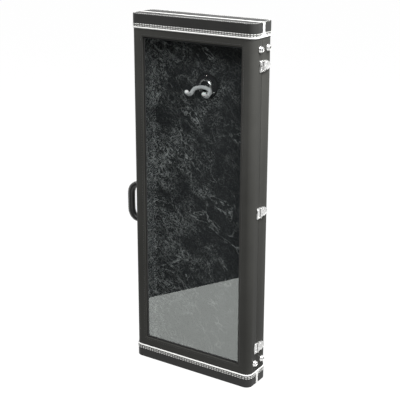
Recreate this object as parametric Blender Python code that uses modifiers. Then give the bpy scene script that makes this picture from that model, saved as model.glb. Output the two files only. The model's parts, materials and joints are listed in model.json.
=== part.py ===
"""Guitar display case: a windowed lid hinged to a lined base, with draw latches and a guitar hanger.

Metres, +Z up. The case stands on its bottom end, the window faces -Y and the latches are on +X.
The origin is the middle of the bottom end.
"""
import math

import bmesh
import bpy
from mathutils import Matrix, Vector

# Driving dimensions of the case
CASE_HEIGHT = 1.110
CASE_WIDTH = 0.423
CASE_DEPTH = 0.102
LID_DEPTH = 0.042
EDGE_RADIUS = 0.020
WALL = 0.008
CLEARANCE = 0.0003
OVERRUN = 0.005
WELD_DISTANCE = 0.000001

# Turned and rounded forms
CORNER_STEPS = 6
END_STEPS = 2
ROUND_STEPS = 24
PIN_STEPS = 16

# Stitched end caps, piping and the band along the parting line
CAP_HEIGHT = 0.0377
CAP_THICKNESS = 0.0015
CAP_SETBACK = 0.0015
CAP_EDGE_RADIUS = 0.002
PIPING_RADIUS = 0.0025
STRIP_WIDTH = 0.0115

# Window in the lid
WINDOW_SIDE_BORDER = 0.040
WINDOW_TOP_BORDER = 0.067
WINDOW_BOTTOM_BORDER = 0.071
WINDOW_CORNER_RADIUS = 0.003
GASKET_WIDTH = 0.0045
GASKET_THICKNESS = 0.0025
PANE_THICKNESS = 0.003
PANE_OVERLAP = 0.011
RETAINER_WIDTH = 0.017
RETAINER_THICKNESS = 0.003

# Velvet linings
LINING_THICKNESS = 0.003
LINING_SETBACK = 0.002

# Draw latches on the right side, in a frame of their own: X out of the side, Y away from the lid
LATCH_FROM_END = 0.1215
LATCH_WIDTH = 0.034
LATCH_REACH = 0.039
LATCH_SHEET = 0.0012
LATCH_EDGE_GAP = 0.0012
CHEEK_HEIGHT = 0.0062
CHEEK_GAP = 0.0005
PLATE_CORNER_RADIUS = 0.0012
LATCH_PIVOT_INSET = 0.007
LATCH_PIVOT_HEIGHT = 0.005
LATCH_PIN_RADIUS = 0.0012
EAR_RADIUS = 0.0026
LEVER_NECK_WIDTH = 0.021
LEVER_NECK_START = 0.0052
LEVER_SHOULDER = 0.017
LEVER_WIDTH = 0.032
LEVER_TOP = 0.0077
LEVER_SKIRT = 0.0022
LEVER_EDGE_RADIUS = 0.001
BAIL_PIVOT_INSET = 0.0125
BAIL_PIVOT_HEIGHT = 0.0036
BAIL_WIRE_RADIUS = 0.001
BAIL_WIDTH = 0.028
BAIL_REACH = 0.012
BAIL_CORNER_RADIUS = 0.003
CATCH_LENGTH = 0.0135
CATCH_NOSE_WIDTH = 0.018
CATCH_NOSE_LENGTH = 0.002
LOCK_RADIUS = 0.0028
LOCK_DEPTH = 0.006
LOCK_INSET = 0.0052
KEYWAY_WIDTH = 0.0009
KEYWAY_LENGTH = 0.0036
KEYWAY_DEPTH = 0.003

# Hinges on the left side, in a frame of their own: the origin on the axis, X into the case
HINGE_FROM_END = 0.150
HINGE_ABOVE_BRACKET = 0.094
HINGE_AXIS_OUT = 0.0034
HINGE_LENGTH = 0.050
HINGE_LEAF_WIDTH = 0.019
HINGE_SHEET = 0.0012
KNUCKLE_RADIUS = 0.003
HINGE_PIN_RADIUS = 0.0015
HINGE_PIN_HEAD_RADIUS = 0.0026
HINGE_PIN_HEAD_HEIGHT = 0.0015
HINGE_FINGER = 0.0042

# Feet on the right side
FOOT_RADIUS = 0.010
FOOT_HEIGHT = 0.009
FOOT_SCREW_RADIUS = 0.003
FOOT_FROM_END = 0.0735
LID_FOOT_FROM_FRONT = 0.031
BASE_FOOT_FROM_FRONT = 0.073

# Carrying handle on the left side, in a frame of its own: the origin on the pivot axis
HANDLE_BELOW_MIDDLE = 0.051
HANDLE_INSET = 0.017
HANDLE_PIVOT_OUT = 0.009
HANDLE_SPREAD = 0.062
HANDLE_REACH = 0.0445
HANDLE_GRIP_RADIUS = 0.011
HANDLE_END_RADIUS = 0.0048
HANDLE_PIN_RADIUS = 0.0018
BRACKET_SHEET = 0.0018
BRACKET_WIDTH = 0.018
BRACKET_HEIGHT = 0.028
LUG_RADIUS = 0.0038
LUG_GAP = 0.0006

# Hanger on the back panel, in a frame of its own: the origin where the yoke bar crosses its shank
HANGER_FROM_TOP = 0.210
FLANGE_RADIUS = 0.038
FLANGE_THICKNESS = 0.006
COLLAR_RADIUS = 0.024
COLLAR_HEIGHT = 0.010
COLLAR_ROUNDING = 0.008
SHANK_RADIUS = 0.005
YOKE_HALF_WIDTH = 0.030
YOKE_TIP_BEHIND_PANE = 0.0142
YOKE_CROWN = 0.006
YOKE_FALL = 0.012
YOKE_DIP = 0.012
YOKE_DIP_SHARE = 0.6
YOKE_BEND_RADIUS = 0.013
YOKE_BEND_SHARE = 0.32
YOKE_ROD_RADIUS = 0.004
SLEEVE_THICKNESS = 0.002
BALL_RADIUS = 0.0066
BALL_SOCKET_DEPTH = 0.005
YOKE_BAR_FROM_BACK = 0.036

# Places worked out from the sizes
SIDE_X = CASE_WIDTH / 2
FRONT_Y = -CASE_DEPTH / 2
BACK_Y = CASE_DEPTH / 2
PARTING_Y = FRONT_Y + LID_DEPTH
LID_EDGE_Y = PARTING_Y - CLEARANCE
BASE_EDGE_Y = PARTING_Y + CLEARANCE
CAP_PROUD = CLEARANCE + CAP_THICKNESS
SHELL_LOW = CAP_PROUD
SHELL_HIGH = CASE_HEIGHT - CAP_PROUD
PIPING_LOW = CAP_HEIGHT + CLEARANCE + PIPING_RADIUS
PIPING_HIGH = CASE_HEIGHT - PIPING_LOW
MIDDLE_Z = CASE_HEIGHT / 2
EAR_SPAN = LEVER_NECK_WIDTH + 2 * (CLEARANCE + LATCH_SHEET)
LATCH_HEIGHTS = {"top": CASE_HEIGHT - LATCH_FROM_END, "middle": MIDDLE_Z, "bottom": LATCH_FROM_END}
HANDLE_HEIGHT = MIDDLE_Z - HANDLE_BELOW_MIDDLE
HINGE_HEIGHTS = {
    "top": CASE_HEIGHT - HINGE_FROM_END,
    "middle": HANDLE_HEIGHT + HANDLE_SPREAD + HINGE_ABOVE_BRACKET,
    "bottom": HINGE_FROM_END,
}
HANGER_HEIGHT = CASE_HEIGHT - HANGER_FROM_TOP
INNER_FRONT_Y = FRONT_Y + WALL
INNER_BACK_Y = BACK_Y - WALL
LINING_FACE_Y = INNER_BACK_Y - CLEARANCE - LINING_THICKNESS
PANE_BACK_Y = INNER_FRONT_Y + CLEARANCE + PANE_THICKNESS
YOKE_BAR_Y = BACK_Y - YOKE_BAR_FROM_BACK
YOKE_REACH = YOKE_BAR_Y - PANE_BACK_Y - YOKE_TIP_BEHIND_PANE
LID_AXIS = Vector((-SIDE_X - HINGE_AXIS_OUT, PARTING_Y, MIDDLE_Z))

CASE = bpy.data.collections.new("guitar_display_case")
CUTTERS = bpy.data.collections.new("cutters")
MATERIALS = {}

# Axis frames: the columns say where an outline's own X, Y and thickness point
FACING_RIGHT = Matrix(((0, 0, 1), (1, 0, 0), (0, 1, 0))).to_4x4()
FACING_DOWN = Matrix(((0, 1, 0), (1, 0, 0), (0, 0, -1))).to_4x4()
FACING_FRONT = Matrix(((1, 0, 0), (0, 0, -1), (0, 1, 0))).to_4x4()


# Materials

def material(name, colour, roughness, metallic=0.0):
    """Return a Principled material, made once for each name."""
    if name not in MATERIALS:
        made = bpy.data.materials.new(name)
        made.use_nodes = True
        shader = made.node_tree.nodes["Principled BSDF"]
        shader.inputs["Base Color"].default_value = (*colour, 1.0)
        shader.inputs["Roughness"].default_value = roughness
        shader.inputs["Metallic"].default_value = metallic
        made.diffuse_color = (*colour, 1.0)
        MATERIALS[name] = made
    return MATERIALS[name]


def vinyl():
    return material("black_vinyl", (0.030, 0.030, 0.028), 0.55)


def leatherette():
    return material("black_leatherette", (0.026, 0.026, 0.025), 0.45)


def white_cord():
    return material("white_piping", (0.85, 0.85, 0.83), 0.5)


def velvet():
    return material("black_velvet", (0.012, 0.012, 0.013), 0.9)


def chrome():
    return material("chrome", (0.80, 0.80, 0.80), 0.15, 1.0)


def rubber():
    return material("black_rubber", (0.015, 0.015, 0.015), 0.7)


def clear_pane():
    return material("clear_acrylic", (0.90, 0.92, 0.92), 0.05)


def grey_foam():
    return material("grey_foam", (0.30, 0.30, 0.30), 0.85)


def pale_plastic():
    return material("pale_plastic", (0.60, 0.60, 0.58), 0.4)


# Objects and meshes

def clear_scene():
    for old in list(bpy.data.objects):
        bpy.data.objects.remove(old, do_unlink=True)
    bpy.context.scene.collection.children.link(CASE)
    bpy.context.scene.collection.children.link(CUTTERS)


def add_empty(name, place):
    """Add an empty on a joint's axis."""
    empty = bpy.data.objects.new(name, None)
    empty.empty_display_size = FOOT_RADIUS
    empty.location = place
    CASE.objects.link(empty)
    return empty


def add_part(name, data, surface, carrier=None, place=(0, 0, 0), turn=(0, 0, 0)):
    """Add a named sub-part with its own material; its place is measured from its carrier."""
    part = bpy.data.objects.new(name, data)
    part.location = place
    part.rotation_euler = turn
    part.parent = carrier
    data.materials.clear()
    data.materials.append(surface)
    if isinstance(data, bpy.types.Mesh):
        data.shade_smooth()
        data.set_sharp_from_angle(angle=math.radians(35))
    CASE.objects.link(part)
    return part


def add_to_half(half, name, data, surface, place=(0, 0, 0), turn=(0, 0, 0)):
    """Add a sub-part at a place in the case, carried by the base or by the lid's axis."""
    if half == "lid":
        return add_part(name, data, surface, bpy.data.objects["lid_axis"], Vector(place) - LID_AXIS, turn)
    return add_part(name, data, surface, None, place, turn)


def add_cutter(name, data):
    """Add a hidden guide that other solids are cut or joined with."""
    cutter = bpy.data.objects.new(name, data)
    cutter.hide_render = True
    cutter.display_type = "WIRE"
    CUTTERS.objects.link(cutter)
    return cutter


def mesh_from(bm, name):
    mesh = bpy.data.meshes.new(name)
    bm.normal_update()
    bm.to_mesh(mesh)
    bm.free()
    return mesh


def box_mesh(name, low, high, corner=0.0, corner_axis=None):
    """Return a box between two corners; the edges along one axis can be rounded."""
    bm = bmesh.new()
    bmesh.ops.create_cube(bm, size=1)
    low, high = Vector(low), Vector(high)
    bmesh.ops.scale(bm, vec=high - low, verts=bm.verts)
    bmesh.ops.translate(bm, vec=(low + high) / 2, verts=bm.verts)
    if corner_axis is not None:
        edges = [edge for edge in bm.edges if along_axis(edge, corner_axis)]
        round_edges(bm, edges, corner)
    return mesh_from(bm, name)


def along_axis(edge, axis):
    run = edge.verts[1].co - edge.verts[0].co
    return abs(run.normalized()[axis]) > 0.999


def round_edges(bm, edges, radius, steps=CORNER_STEPS):
    bmesh.ops.bevel(bm, geom=edges, offset=radius, segments=steps, affect="EDGES", profile=0.5)


def cylinder_mesh(name, radius, low, high, axis="Z", centre=(0, 0), steps=PIN_STEPS):
    """Return a cylinder from low to high along an axis; centre gives the other two coordinates."""
    bm = bmesh.new()
    bmesh.ops.create_cone(bm, cap_ends=True, segments=steps, radius1=radius, radius2=radius, depth=high - low)
    bmesh.ops.translate(bm, vec=(0, 0, (low + high) / 2), verts=bm.verts)
    if axis == "X":
        quarter_turn = Matrix.Rotation(math.radians(90), 3, "Y")
        bmesh.ops.rotate(bm, cent=(0, 0, 0), matrix=quarter_turn, verts=bm.verts)
        shift = (0, centre[0], centre[1])
    elif axis == "Y":
        quarter_turn = Matrix.Rotation(math.radians(-90), 3, "X")
        bmesh.ops.rotate(bm, cent=(0, 0, 0), matrix=quarter_turn, verts=bm.verts)
        shift = (centre[0], 0, centre[1])
    else:
        shift = (centre[0], centre[1], 0)
    bmesh.ops.translate(bm, vec=shift, verts=bm.verts)
    return mesh_from(bm, name)


def baked_mesh(source, name):
    """Return an object's evaluated mesh with its loose caps welded, and remove the object."""
    bpy.context.view_layer.update()
    graph = bpy.context.evaluated_depsgraph_get()
    mesh = bpy.data.meshes.new_from_object(source.evaluated_get(graph))
    mesh.transform(source.matrix_world)
    mesh.name = name
    bm = bmesh.new()
    bm.from_mesh(mesh)
    bmesh.ops.remove_doubles(bm, verts=bm.verts, dist=WELD_DISTANCE)
    bm.to_mesh(mesh)
    bm.free()
    bpy.data.objects.remove(source, do_unlink=True)
    return mesh


def combined_mesh(name, base, joined=(), cut=()):
    """Return one mesh: the base with some meshes joined to it, then others cut from it."""
    body = add_cutter(name + "_body", base)
    helpers = []
    for operation, meshes in (("UNION", joined), ("DIFFERENCE", cut)):
        for index, mesh in enumerate(meshes):
            helper = add_cutter(f"{name}_{operation.lower()}_{index}", mesh)
            step = body.modifiers.new(helper.name, "BOOLEAN")
            step.operation = operation
            step.object = helper
            helpers.append(helper)
    mesh = baked_mesh(body, name)
    for helper in helpers:
        bpy.data.objects.remove(helper, do_unlink=True)
    return mesh


def outline_mesh(name, points, thickness, frame, offset=0.0):
    """Return a flat outline made as a filled curve, standing in the given axis frame."""
    curve = bpy.data.curves.new(name, "CURVE")
    curve.dimensions = "2D"
    curve.fill_mode = "BOTH"
    curve.extrude = thickness / 2
    spline = curve.splines.new("POLY")
    spline.points.add(len(points) - 1)
    for point, (across, up) in zip(spline.points, points):
        point.co = (across, up, 0, 1)
    spline.use_cyclic_u = True
    guide = add_cutter(name + "_outline", curve)
    guide.matrix_world = frame @ Matrix.Translation((0, 0, offset + thickness / 2))
    return baked_mesh(guide, name)


def arc(centre, radius, start, end, steps):
    """Return points on an arc, from the start angle to the end angle in degrees."""
    points = []
    for index in range(steps + 1):
        angle = math.radians(start + (end - start) * index / steps)
        points.append((centre[0] + radius * math.cos(angle), centre[1] + radius * math.sin(angle)))
    return points


def rounded_path(corners, radius, steps=4):
    """Return a path through corner points, each inner corner replaced by a smooth bend."""
    corners = [Vector(corner) for corner in corners]
    path = [corners[0]]
    for before, corner, after in zip(corners, corners[1:], corners[2:]):
        start = corner + (before - corner).normalized() * radius
        end = corner + (after - corner).normalized() * radius
        for index in range(steps + 1):
            share = index / steps
            path.append(start.lerp(corner, share).lerp(corner.lerp(end, share), share))
    path.append(corners[-1])
    return path


def tube_mesh(name, path, radius, radii_shares=None, sides=2):
    """Return a tube along a path; radii_shares swell it point by point."""
    curve = bpy.data.curves.new(name, "CURVE")
    curve.dimensions = "3D"
    curve.bevel_depth = radius
    curve.bevel_resolution = sides
    curve.use_fill_caps = True
    spline = curve.splines.new("POLY")
    spline.points.add(len(path) - 1)
    for index, place in enumerate(path):
        spline.points[index].co = (*place, 1)
        spline.points[index].radius = radii_shares[index] if radii_shares else 1.0
    return baked_mesh(add_cutter(name + "_curve", curve), name)


def add_turned(half, name, profile, surface, place, turn, closed=False):
    """Add a turned piece: a profile of radius and height, run top to bottom, and a Screw modifier."""
    bm = bmesh.new()
    verts = [bm.verts.new((radius, 0, height)) for radius, height in profile]
    for first, second in zip(verts, verts[1:]):
        bm.edges.new((first, second))
    if closed:
        bm.edges.new((verts[-1], verts[0]))
    part = add_to_half(half, name, mesh_from(bm, name), surface, place, turn)
    screw = part.modifiers.new("turned", "SCREW")
    screw.steps = ROUND_STEPS
    screw.render_steps = ROUND_STEPS
    screw.use_merge_vertices = True
    screw.merge_threshold = WELD_DISTANCE
    screw.use_smooth_shade = True
    return part


def tray_mesh(name, reach_x, closed_y, open_y, low_z, high_z, corner, missing=(), end_radius=0.0):
    """Return the open surface of a half case: a box without its parting face, long edges rounded.

    missing names further faces to leave out: closed, low or high. end_radius rounds the edges
    round the ends that are left.
    """
    bm = bmesh.new()
    bmesh.ops.create_cube(bm, size=1)
    bmesh.ops.scale(bm, vec=(2 * reach_x, abs(open_y - closed_y), high_z - low_z), verts=bm.verts)
    bmesh.ops.translate(bm, vec=(0, (open_y + closed_y) / 2, (low_z + high_z) / 2), verts=bm.verts)
    toward_open = 1 if open_y > closed_y else -1
    directions = {"parting": (0, toward_open, 0), "closed": (0, -toward_open, 0), "low": (0, 0, -1),
                  "high": (0, 0, 1)}
    if corner:
        edges = [edge for edge in bm.edges if along_axis(edge, 2)
                 and abs(edge.verts[0].co.y - closed_y) < abs(edge.verts[0].co.y - open_y)]
        round_edges(bm, edges, corner)
    bm.normal_update()
    dropped = [face for face in bm.faces for side in ("parting", *missing)
               if face.normal.dot(Vector(directions[side])) > 0.999]
    bmesh.ops.delete(bm, geom=dropped, context="FACES")
    if end_radius:
        edges = [edge for edge in bm.edges if len(edge.link_faces) == 2
                 and sum(abs(face.normal.z) > 0.999 for face in edge.link_faces) == 1]
        round_edges(bm, edges, end_radius, END_STEPS)
    return mesh_from(bm, name)


def thicken(part, thickness):
    """Give an open surface its wall, inwards."""
    shell = part.modifiers.new("wall", "SOLIDIFY")
    shell.thickness = thickness
    shell.offset = -1
    shell.use_even_offset = True
    return part


def cut_with(part, cutter):
    step = part.modifiers.new(cutter.name, "BOOLEAN")
    step.operation = "DIFFERENCE"
    step.object = cutter
    return part


# Shells, linings, caps and piping

HALVES = {"base": (BACK_Y, BASE_EDGE_Y, 1), "lid": (FRONT_Y, LID_EDGE_Y, -1)}


def add_shells():
    """Add the vinyl-covered trays of the base and the lid."""
    shells = {}
    for half, (closed_y, open_y, _) in HALVES.items():
        mesh = tray_mesh(half + "_shell", SIDE_X, closed_y, open_y, SHELL_LOW, SHELL_HIGH, EDGE_RADIUS)
        shells[half] = thicken(add_to_half(half, half + "_shell", mesh, vinyl()), WALL)
    window = box_mesh(
        "window_opening",
        (WINDOW_SIDE_BORDER - SIDE_X, FRONT_Y - OVERRUN, WINDOW_BOTTOM_BORDER),
        (SIDE_X - WINDOW_SIDE_BORDER, INNER_FRONT_Y + OVERRUN, CASE_HEIGHT - WINDOW_TOP_BORDER),
        WINDOW_CORNER_RADIUS, 1)
    cut_with(shells["lid"], add_cutter("window_opening", window))
    bore = cylinder_mesh(
        "lock_bore", LOCK_RADIUS + CLEARANCE, SIDE_X - LOCK_DEPTH - CLEARANCE, SIDE_X + OVERRUN, "X",
        (PARTING_Y - LOCK_INSET, LATCH_HEIGHTS["top"]))
    cut_with(shells["lid"], add_cutter("lock_bore", bore))


def add_linings():
    """Add the velvet lining of the base, walls and back in one, and the band of lining in the lid."""
    inset = WALL + CLEARANCE
    corner = EDGE_RADIUS - inset
    low = SHELL_LOW + inset
    high = SHELL_HIGH - inset
    reach = SIDE_X - inset
    open_y = PARTING_Y + LINING_SETBACK
    base = tray_mesh("base_lining", reach, BACK_Y - inset, open_y, low, high, corner)
    thicken(add_part("base_lining", base, velvet()), LINING_THICKNESS)
    band_start = FRONT_Y + EDGE_RADIUS
    open_y = PARTING_Y - LINING_SETBACK
    lid = tray_mesh("lid_lining", reach, band_start, open_y, low, high, 0, ("closed",))
    thicken(add_to_half("lid", "lid_lining", lid, velvet()), LINING_THICKNESS)


def add_caps():
    """Add the leatherette caps over both ends of both halves."""
    for half, (closed_y, _, away) in HALVES.items():
        setback = CLEARANCE + CAP_SETBACK
        if half == "base":
            setback = CLEARANCE + STRIP_WIDTH + CLEARANCE
        reach = SIDE_X + CAP_PROUD
        outer_y = closed_y + away * CAP_PROUD
        open_y = PARTING_Y + away * setback
        corner = EDGE_RADIUS + CAP_PROUD
        for end, low, high, missing in (("top", CASE_HEIGHT - CAP_HEIGHT, CASE_HEIGHT, "low"),
                                        ("bottom", 0, CAP_HEIGHT, "high")):
            name = f"{half}_cap_{end}"
            mesh = tray_mesh(name, reach, outer_y, open_y, low, high, corner, (missing,), CAP_EDGE_RADIUS)
            thicken(add_to_half(half, name, mesh, leatherette()), CAP_THICKNESS)


def add_edge_strips():
    """Add the white bands that edge the base caps along the parting line."""
    reach = SIDE_X + CAP_PROUD
    far_y = BASE_EDGE_Y + STRIP_WIDTH
    for end, low, high, missing in (("top", CASE_HEIGHT - CAP_HEIGHT, CASE_HEIGHT, "low"),
                                    ("bottom", 0, CAP_HEIGHT, "high")):
        name = f"base_edge_strip_{end}"
        mesh = tray_mesh(
            name, reach, BASE_EDGE_Y, far_y, low, high, 0, ("closed", missing), CAP_EDGE_RADIUS)
        thicken(add_part(name, mesh, white_cord()), CAP_THICKNESS)


def half_outline(closed_y, open_y, away):
    """Return the path round a half's sides and closed face, from the right parting edge to the left."""
    centre_x = SIDE_X - EDGE_RADIUS
    centre_y = closed_y - away * EDGE_RADIUS
    right = [(x, centre_y + away * y) for x, y in arc((centre_x, 0), EDGE_RADIUS, 0, 90, CORNER_STEPS)]
    left = [(-x, y) for x, y in reversed(right)]
    return [(SIDE_X, open_y), *right, *left, (-SIDE_X, open_y)]


def add_piping():
    """Add the half-round piping at the edge of each cap."""
    for half, (closed_y, open_y, away) in HALVES.items():
        block = tray_block(half, closed_y, open_y, away)
        outline = half_outline(closed_y, open_y, away)
        for end, height in (("top", PIPING_HIGH), ("bottom", PIPING_LOW)):
            name = f"{half}_piping_{end}"
            cord = tube_mesh(name, [(x, y, height) for x, y in outline], PIPING_RADIUS)
            cut_with(add_to_half(half, name, cord, white_cord()), block)


def tray_block(half, closed_y, open_y, away):
    """Return a solid block a clearance larger than a half, to cut the piping's flat side."""
    far_y = open_y - away * OVERRUN
    near_y = closed_y + away * CLEARANCE
    bm = bmesh.new()
    bmesh.ops.create_cube(bm, size=1)
    reach = SIDE_X + CLEARANCE
    bmesh.ops.scale(bm, vec=(2 * reach, abs(near_y - far_y), SHELL_HIGH - SHELL_LOW), verts=bm.verts)
    bmesh.ops.translate(bm, vec=(0, (near_y + far_y) / 2, MIDDLE_Z), verts=bm.verts)
    edges = [edge for edge in bm.edges if along_axis(edge, 2)
             and abs(edge.verts[0].co.y - near_y) < abs(edge.verts[0].co.y - far_y)]
    round_edges(bm, edges, EDGE_RADIUS + CLEARANCE)
    return add_cutter(half + "_block", mesh_from(bm, half + "_block"))


# Window

def rounded_rectangle(half_x, low_z, high_z, radius):
    """Return the outline of an upright rectangle with rounded corners."""
    points = []
    corners = ((half_x, high_z, 0), (-half_x, high_z, 90), (-half_x, low_z, 180), (half_x, low_z, 270))
    for x, z, angle in corners:
        centre = (x - math.copysign(radius, x), z + (radius if z == low_z else -radius))
        points += arc(centre, radius, angle, angle + 90, CORNER_STEPS)
    return points


def frame_curve(name, outer, inner, thickness):
    """Return a flat frame as a filled curve of two outlines."""
    curve = bpy.data.curves.new(name, "CURVE")
    curve.dimensions = "2D"
    curve.fill_mode = "BOTH"
    curve.extrude = thickness / 2
    for outline in (outer, inner):
        spline = curve.splines.new("POLY")
        spline.points.add(len(outline) - 1)
        for point, (across, up) in zip(spline.points, outline):
            point.co = (across, up, 0, 1)
        spline.use_cyclic_u = True
    return curve


def add_window():
    """Add the pane, the gasket round the opening and the rebated frame that holds the pane."""
    half_opening = SIDE_X - WINDOW_SIDE_BORDER
    low, high = WINDOW_BOTTOM_BORDER, CASE_HEIGHT - WINDOW_TOP_BORDER
    pane_front = INNER_FRONT_Y + CLEARANCE
    pane = box_mesh(
        "window_pane", (-half_opening - PANE_OVERLAP, pane_front, low - PANE_OVERLAP),
        (half_opening + PANE_OVERLAP, PANE_BACK_Y, high + PANE_OVERLAP))
    add_to_half("lid", "window_pane", pane, clear_pane())

    rim = CLEARANCE
    lip = CLEARANCE + GASKET_WIDTH
    gasket = frame_curve(
        "window_gasket", rounded_rectangle(half_opening - rim, low + rim, high - rim, WINDOW_CORNER_RADIUS),
        rounded_rectangle(half_opening - lip, low + lip, high - lip, WINDOW_CORNER_RADIUS), GASKET_THICKNESS)
    gasket_y = INNER_FRONT_Y - GASKET_THICKNESS / 2
    add_to_half("lid", "window_gasket", gasket, rubber(), (0, gasket_y, 0), FACING_FRONT.to_euler())

    grow = PANE_OVERLAP + CLEARANCE
    back_of_frame = PANE_BACK_Y + CLEARANCE + RETAINER_THICKNESS
    body = box_mesh(
        "window_retainer", (-half_opening - RETAINER_WIDTH, pane_front, low - RETAINER_WIDTH),
        (half_opening + RETAINER_WIDTH, back_of_frame, high + RETAINER_WIDTH))
    rebate = box_mesh(
        "window_rebate", (-half_opening - grow, pane_front - OVERRUN, low - grow),
        (half_opening + grow, PANE_BACK_Y + CLEARANCE, high + grow))
    through = box_mesh(
        "window_through", (-half_opening, pane_front - OVERRUN, low),
        (half_opening, back_of_frame + OVERRUN, high))
    frame = combined_mesh("window_retainer", body, cut=(rebate, through))
    add_to_half("lid", "window_retainer", frame, rubber())


# Draw latches

def d_outline(start, reach, width):
    """Return a plate outline: square at the start, half round at the reach."""
    radius = width / 2
    end = arc((reach - radius, 0), radius, -90, 90, ROUND_STEPS // 2)
    return [(start, -radius), *end, (start, radius)]


def ear_outline():
    """Return an ear in the plane across the pivot: a stalk with a round head."""
    head = arc((LATCH_PIVOT_INSET, LATCH_PIVOT_HEIGHT), EAR_RADIUS, 0, 180, PIN_STEPS // 2)
    foot = CLEARANCE + LATCH_SHEET / 2
    return [(LATCH_PIVOT_INSET - EAR_RADIUS, foot), (LATCH_PIVOT_INSET + EAR_RADIUS, foot), *head]


def latch_plate_mesh():
    """Return the base plate: its two ears, the pin between them and its turned-up sides."""
    outline = d_outline(LATCH_EDGE_GAP, LATCH_REACH, LATCH_WIDTH)
    plate = outline_mesh("latch_plate", outline, LATCH_SHEET, FACING_RIGHT, CLEARANCE)
    ears = []
    for side in (-1, 1):
        middle = side * (EAR_SPAN - LATCH_SHEET) / 2
        near = middle - LATCH_SHEET / 2
        ears.append(outline_mesh("latch_ear", ear_outline(), LATCH_SHEET, FACING_DOWN, near))
    reach = EAR_SPAN / 2 - LATCH_SHEET / 2
    pivot = (LATCH_PIVOT_HEIGHT, LATCH_PIVOT_INSET)
    pin = cylinder_mesh("latch_pin", LATCH_PIN_RADIUS, -reach, reach, "Z", pivot)
    cheeks = []
    cheek_reach = LATCH_WIDTH / 2 - CLEARANCE
    for side in (-1, 1):
        low, high = sorted((side * (cheek_reach - LATCH_SHEET), side * cheek_reach))
        cheeks.append(box_mesh(
            "latch_cheek", (CLEARANCE + LATCH_SHEET / 2, LATCH_EDGE_GAP + CLEARANCE, low),
            (CHEEK_HEIGHT, LEVER_SHOULDER - CHEEK_GAP, high)))
    return combined_mesh("latch_plate", plate, joined=(*ears, pin, *cheeks))


def lever_outline():
    """Return the lever's outline, run from one corner of its open near edge to the other."""
    neck, half = LEVER_NECK_WIDTH / 2, LEVER_WIDTH / 2
    reach = LATCH_REACH - LATCH_SHEET
    end = arc((reach - half, 0), half, -90, 90, ROUND_STEPS // 2)
    return [(LEVER_NECK_START, -neck), (LEVER_SHOULDER, -neck), (LEVER_SHOULDER, -half), *end,
            (LEVER_SHOULDER, half), (LEVER_SHOULDER, neck), (LEVER_NECK_START, neck)]


def latch_lever_mesh():
    """Return the pressed lever: a D-shaped cover with skirts, bored for the pin and the bail."""
    bm = bmesh.new()
    verts = [bm.verts.new((LEVER_TOP, y, z)) for y, z in lever_outline()]
    cover = bm.faces.new(verts)
    cover.normal_update()
    if cover.normal.x < 0:
        cover.normal_flip()
    rim = [edge for edge in bm.edges if edge.verts[0].co.y > LEVER_NECK_START + CLEARANCE
           or edge.verts[1].co.y > LEVER_NECK_START + CLEARANCE]
    skirt = bmesh.ops.extrude_edge_only(bm, edges=rim)
    low = [item for item in skirt["geom"] if isinstance(item, bmesh.types.BMVert)]
    bmesh.ops.translate(bm, vec=(LEVER_SKIRT - LEVER_TOP, 0, 0), verts=low)
    bmesh.ops.recalc_face_normals(bm, faces=bm.faces)
    round_edges(bm, rim, LEVER_EDGE_RADIUS, 2)
    body = add_cutter("latch_lever_surface", mesh_from(bm, "latch_lever_surface"))
    thicken(body, LATCH_SHEET)
    body_mesh = baked_mesh(body, "latch_lever_body")
    reach = LEVER_NECK_WIDTH / 2 + OVERRUN
    pivot = (LATCH_PIVOT_HEIGHT, LATCH_PIVOT_INSET)
    pin_bore = cylinder_mesh("pin_bore", LATCH_PIN_RADIUS + CLEARANCE, -reach, reach, "Z", pivot)
    pivot = (BAIL_PIVOT_HEIGHT, BAIL_PIVOT_INSET)
    wire_bore = cylinder_mesh("wire_bore", BAIL_WIRE_RADIUS + CLEARANCE, -reach, reach, "Z", pivot)
    mesh = combined_mesh("latch_lever", body_mesh, cut=(pin_bore, wire_bore))
    mesh.transform(Matrix.Translation((-LATCH_PIVOT_HEIGHT, -LATCH_PIVOT_INSET, 0)))
    return mesh


def latch_bail_mesh():
    """Return the wire loop that draws the lid in, about its own pivot in the lever."""
    end = LEVER_NECK_WIDTH / 2 - LATCH_SHEET - CLEARANCE
    half = BAIL_WIDTH / 2
    bar = -BAIL_REACH - BAIL_PIVOT_INSET
    corners = [(0, 0, -end), (0, 0, -half), (0, bar, -half), (0, bar, half), (0, 0, half), (0, 0, end)]
    return tube_mesh("latch_bail", rounded_path(corners, BAIL_CORNER_RADIUS, 3), BAIL_WIRE_RADIUS)


def latch_catch_mesh(name, with_lock):
    """Return the lid plate with the nose that the bail hooks over."""
    half = LATCH_WIDTH / 2
    low, high = CLEARANCE, CLEARANCE + LATCH_SHEET
    plate = box_mesh(
        name, (low, -CATCH_LENGTH, -half), (high, -LATCH_EDGE_GAP, half), PLATE_CORNER_RADIUS, 0)
    nose_top = BAIL_PIVOT_HEIGHT - BAIL_WIRE_RADIUS - CLEARANCE
    nose_front = CLEARANCE + BAIL_WIRE_RADIUS - BAIL_REACH
    nose = box_mesh(
        "catch_nose", ((low + high) / 2, nose_front, -CATCH_NOSE_WIDTH / 2),
        (nose_top, nose_front + CATCH_NOSE_LENGTH, CATCH_NOSE_WIDTH / 2))
    cut = ()
    if with_lock:
        hole = cylinder_mesh("lock_hole", LOCK_RADIUS + CLEARANCE, -OVERRUN, OVERRUN, "X", (-LOCK_INSET, 0))
        cut = (hole,)
    return combined_mesh(name, plate, joined=(nose,), cut=cut)


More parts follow.
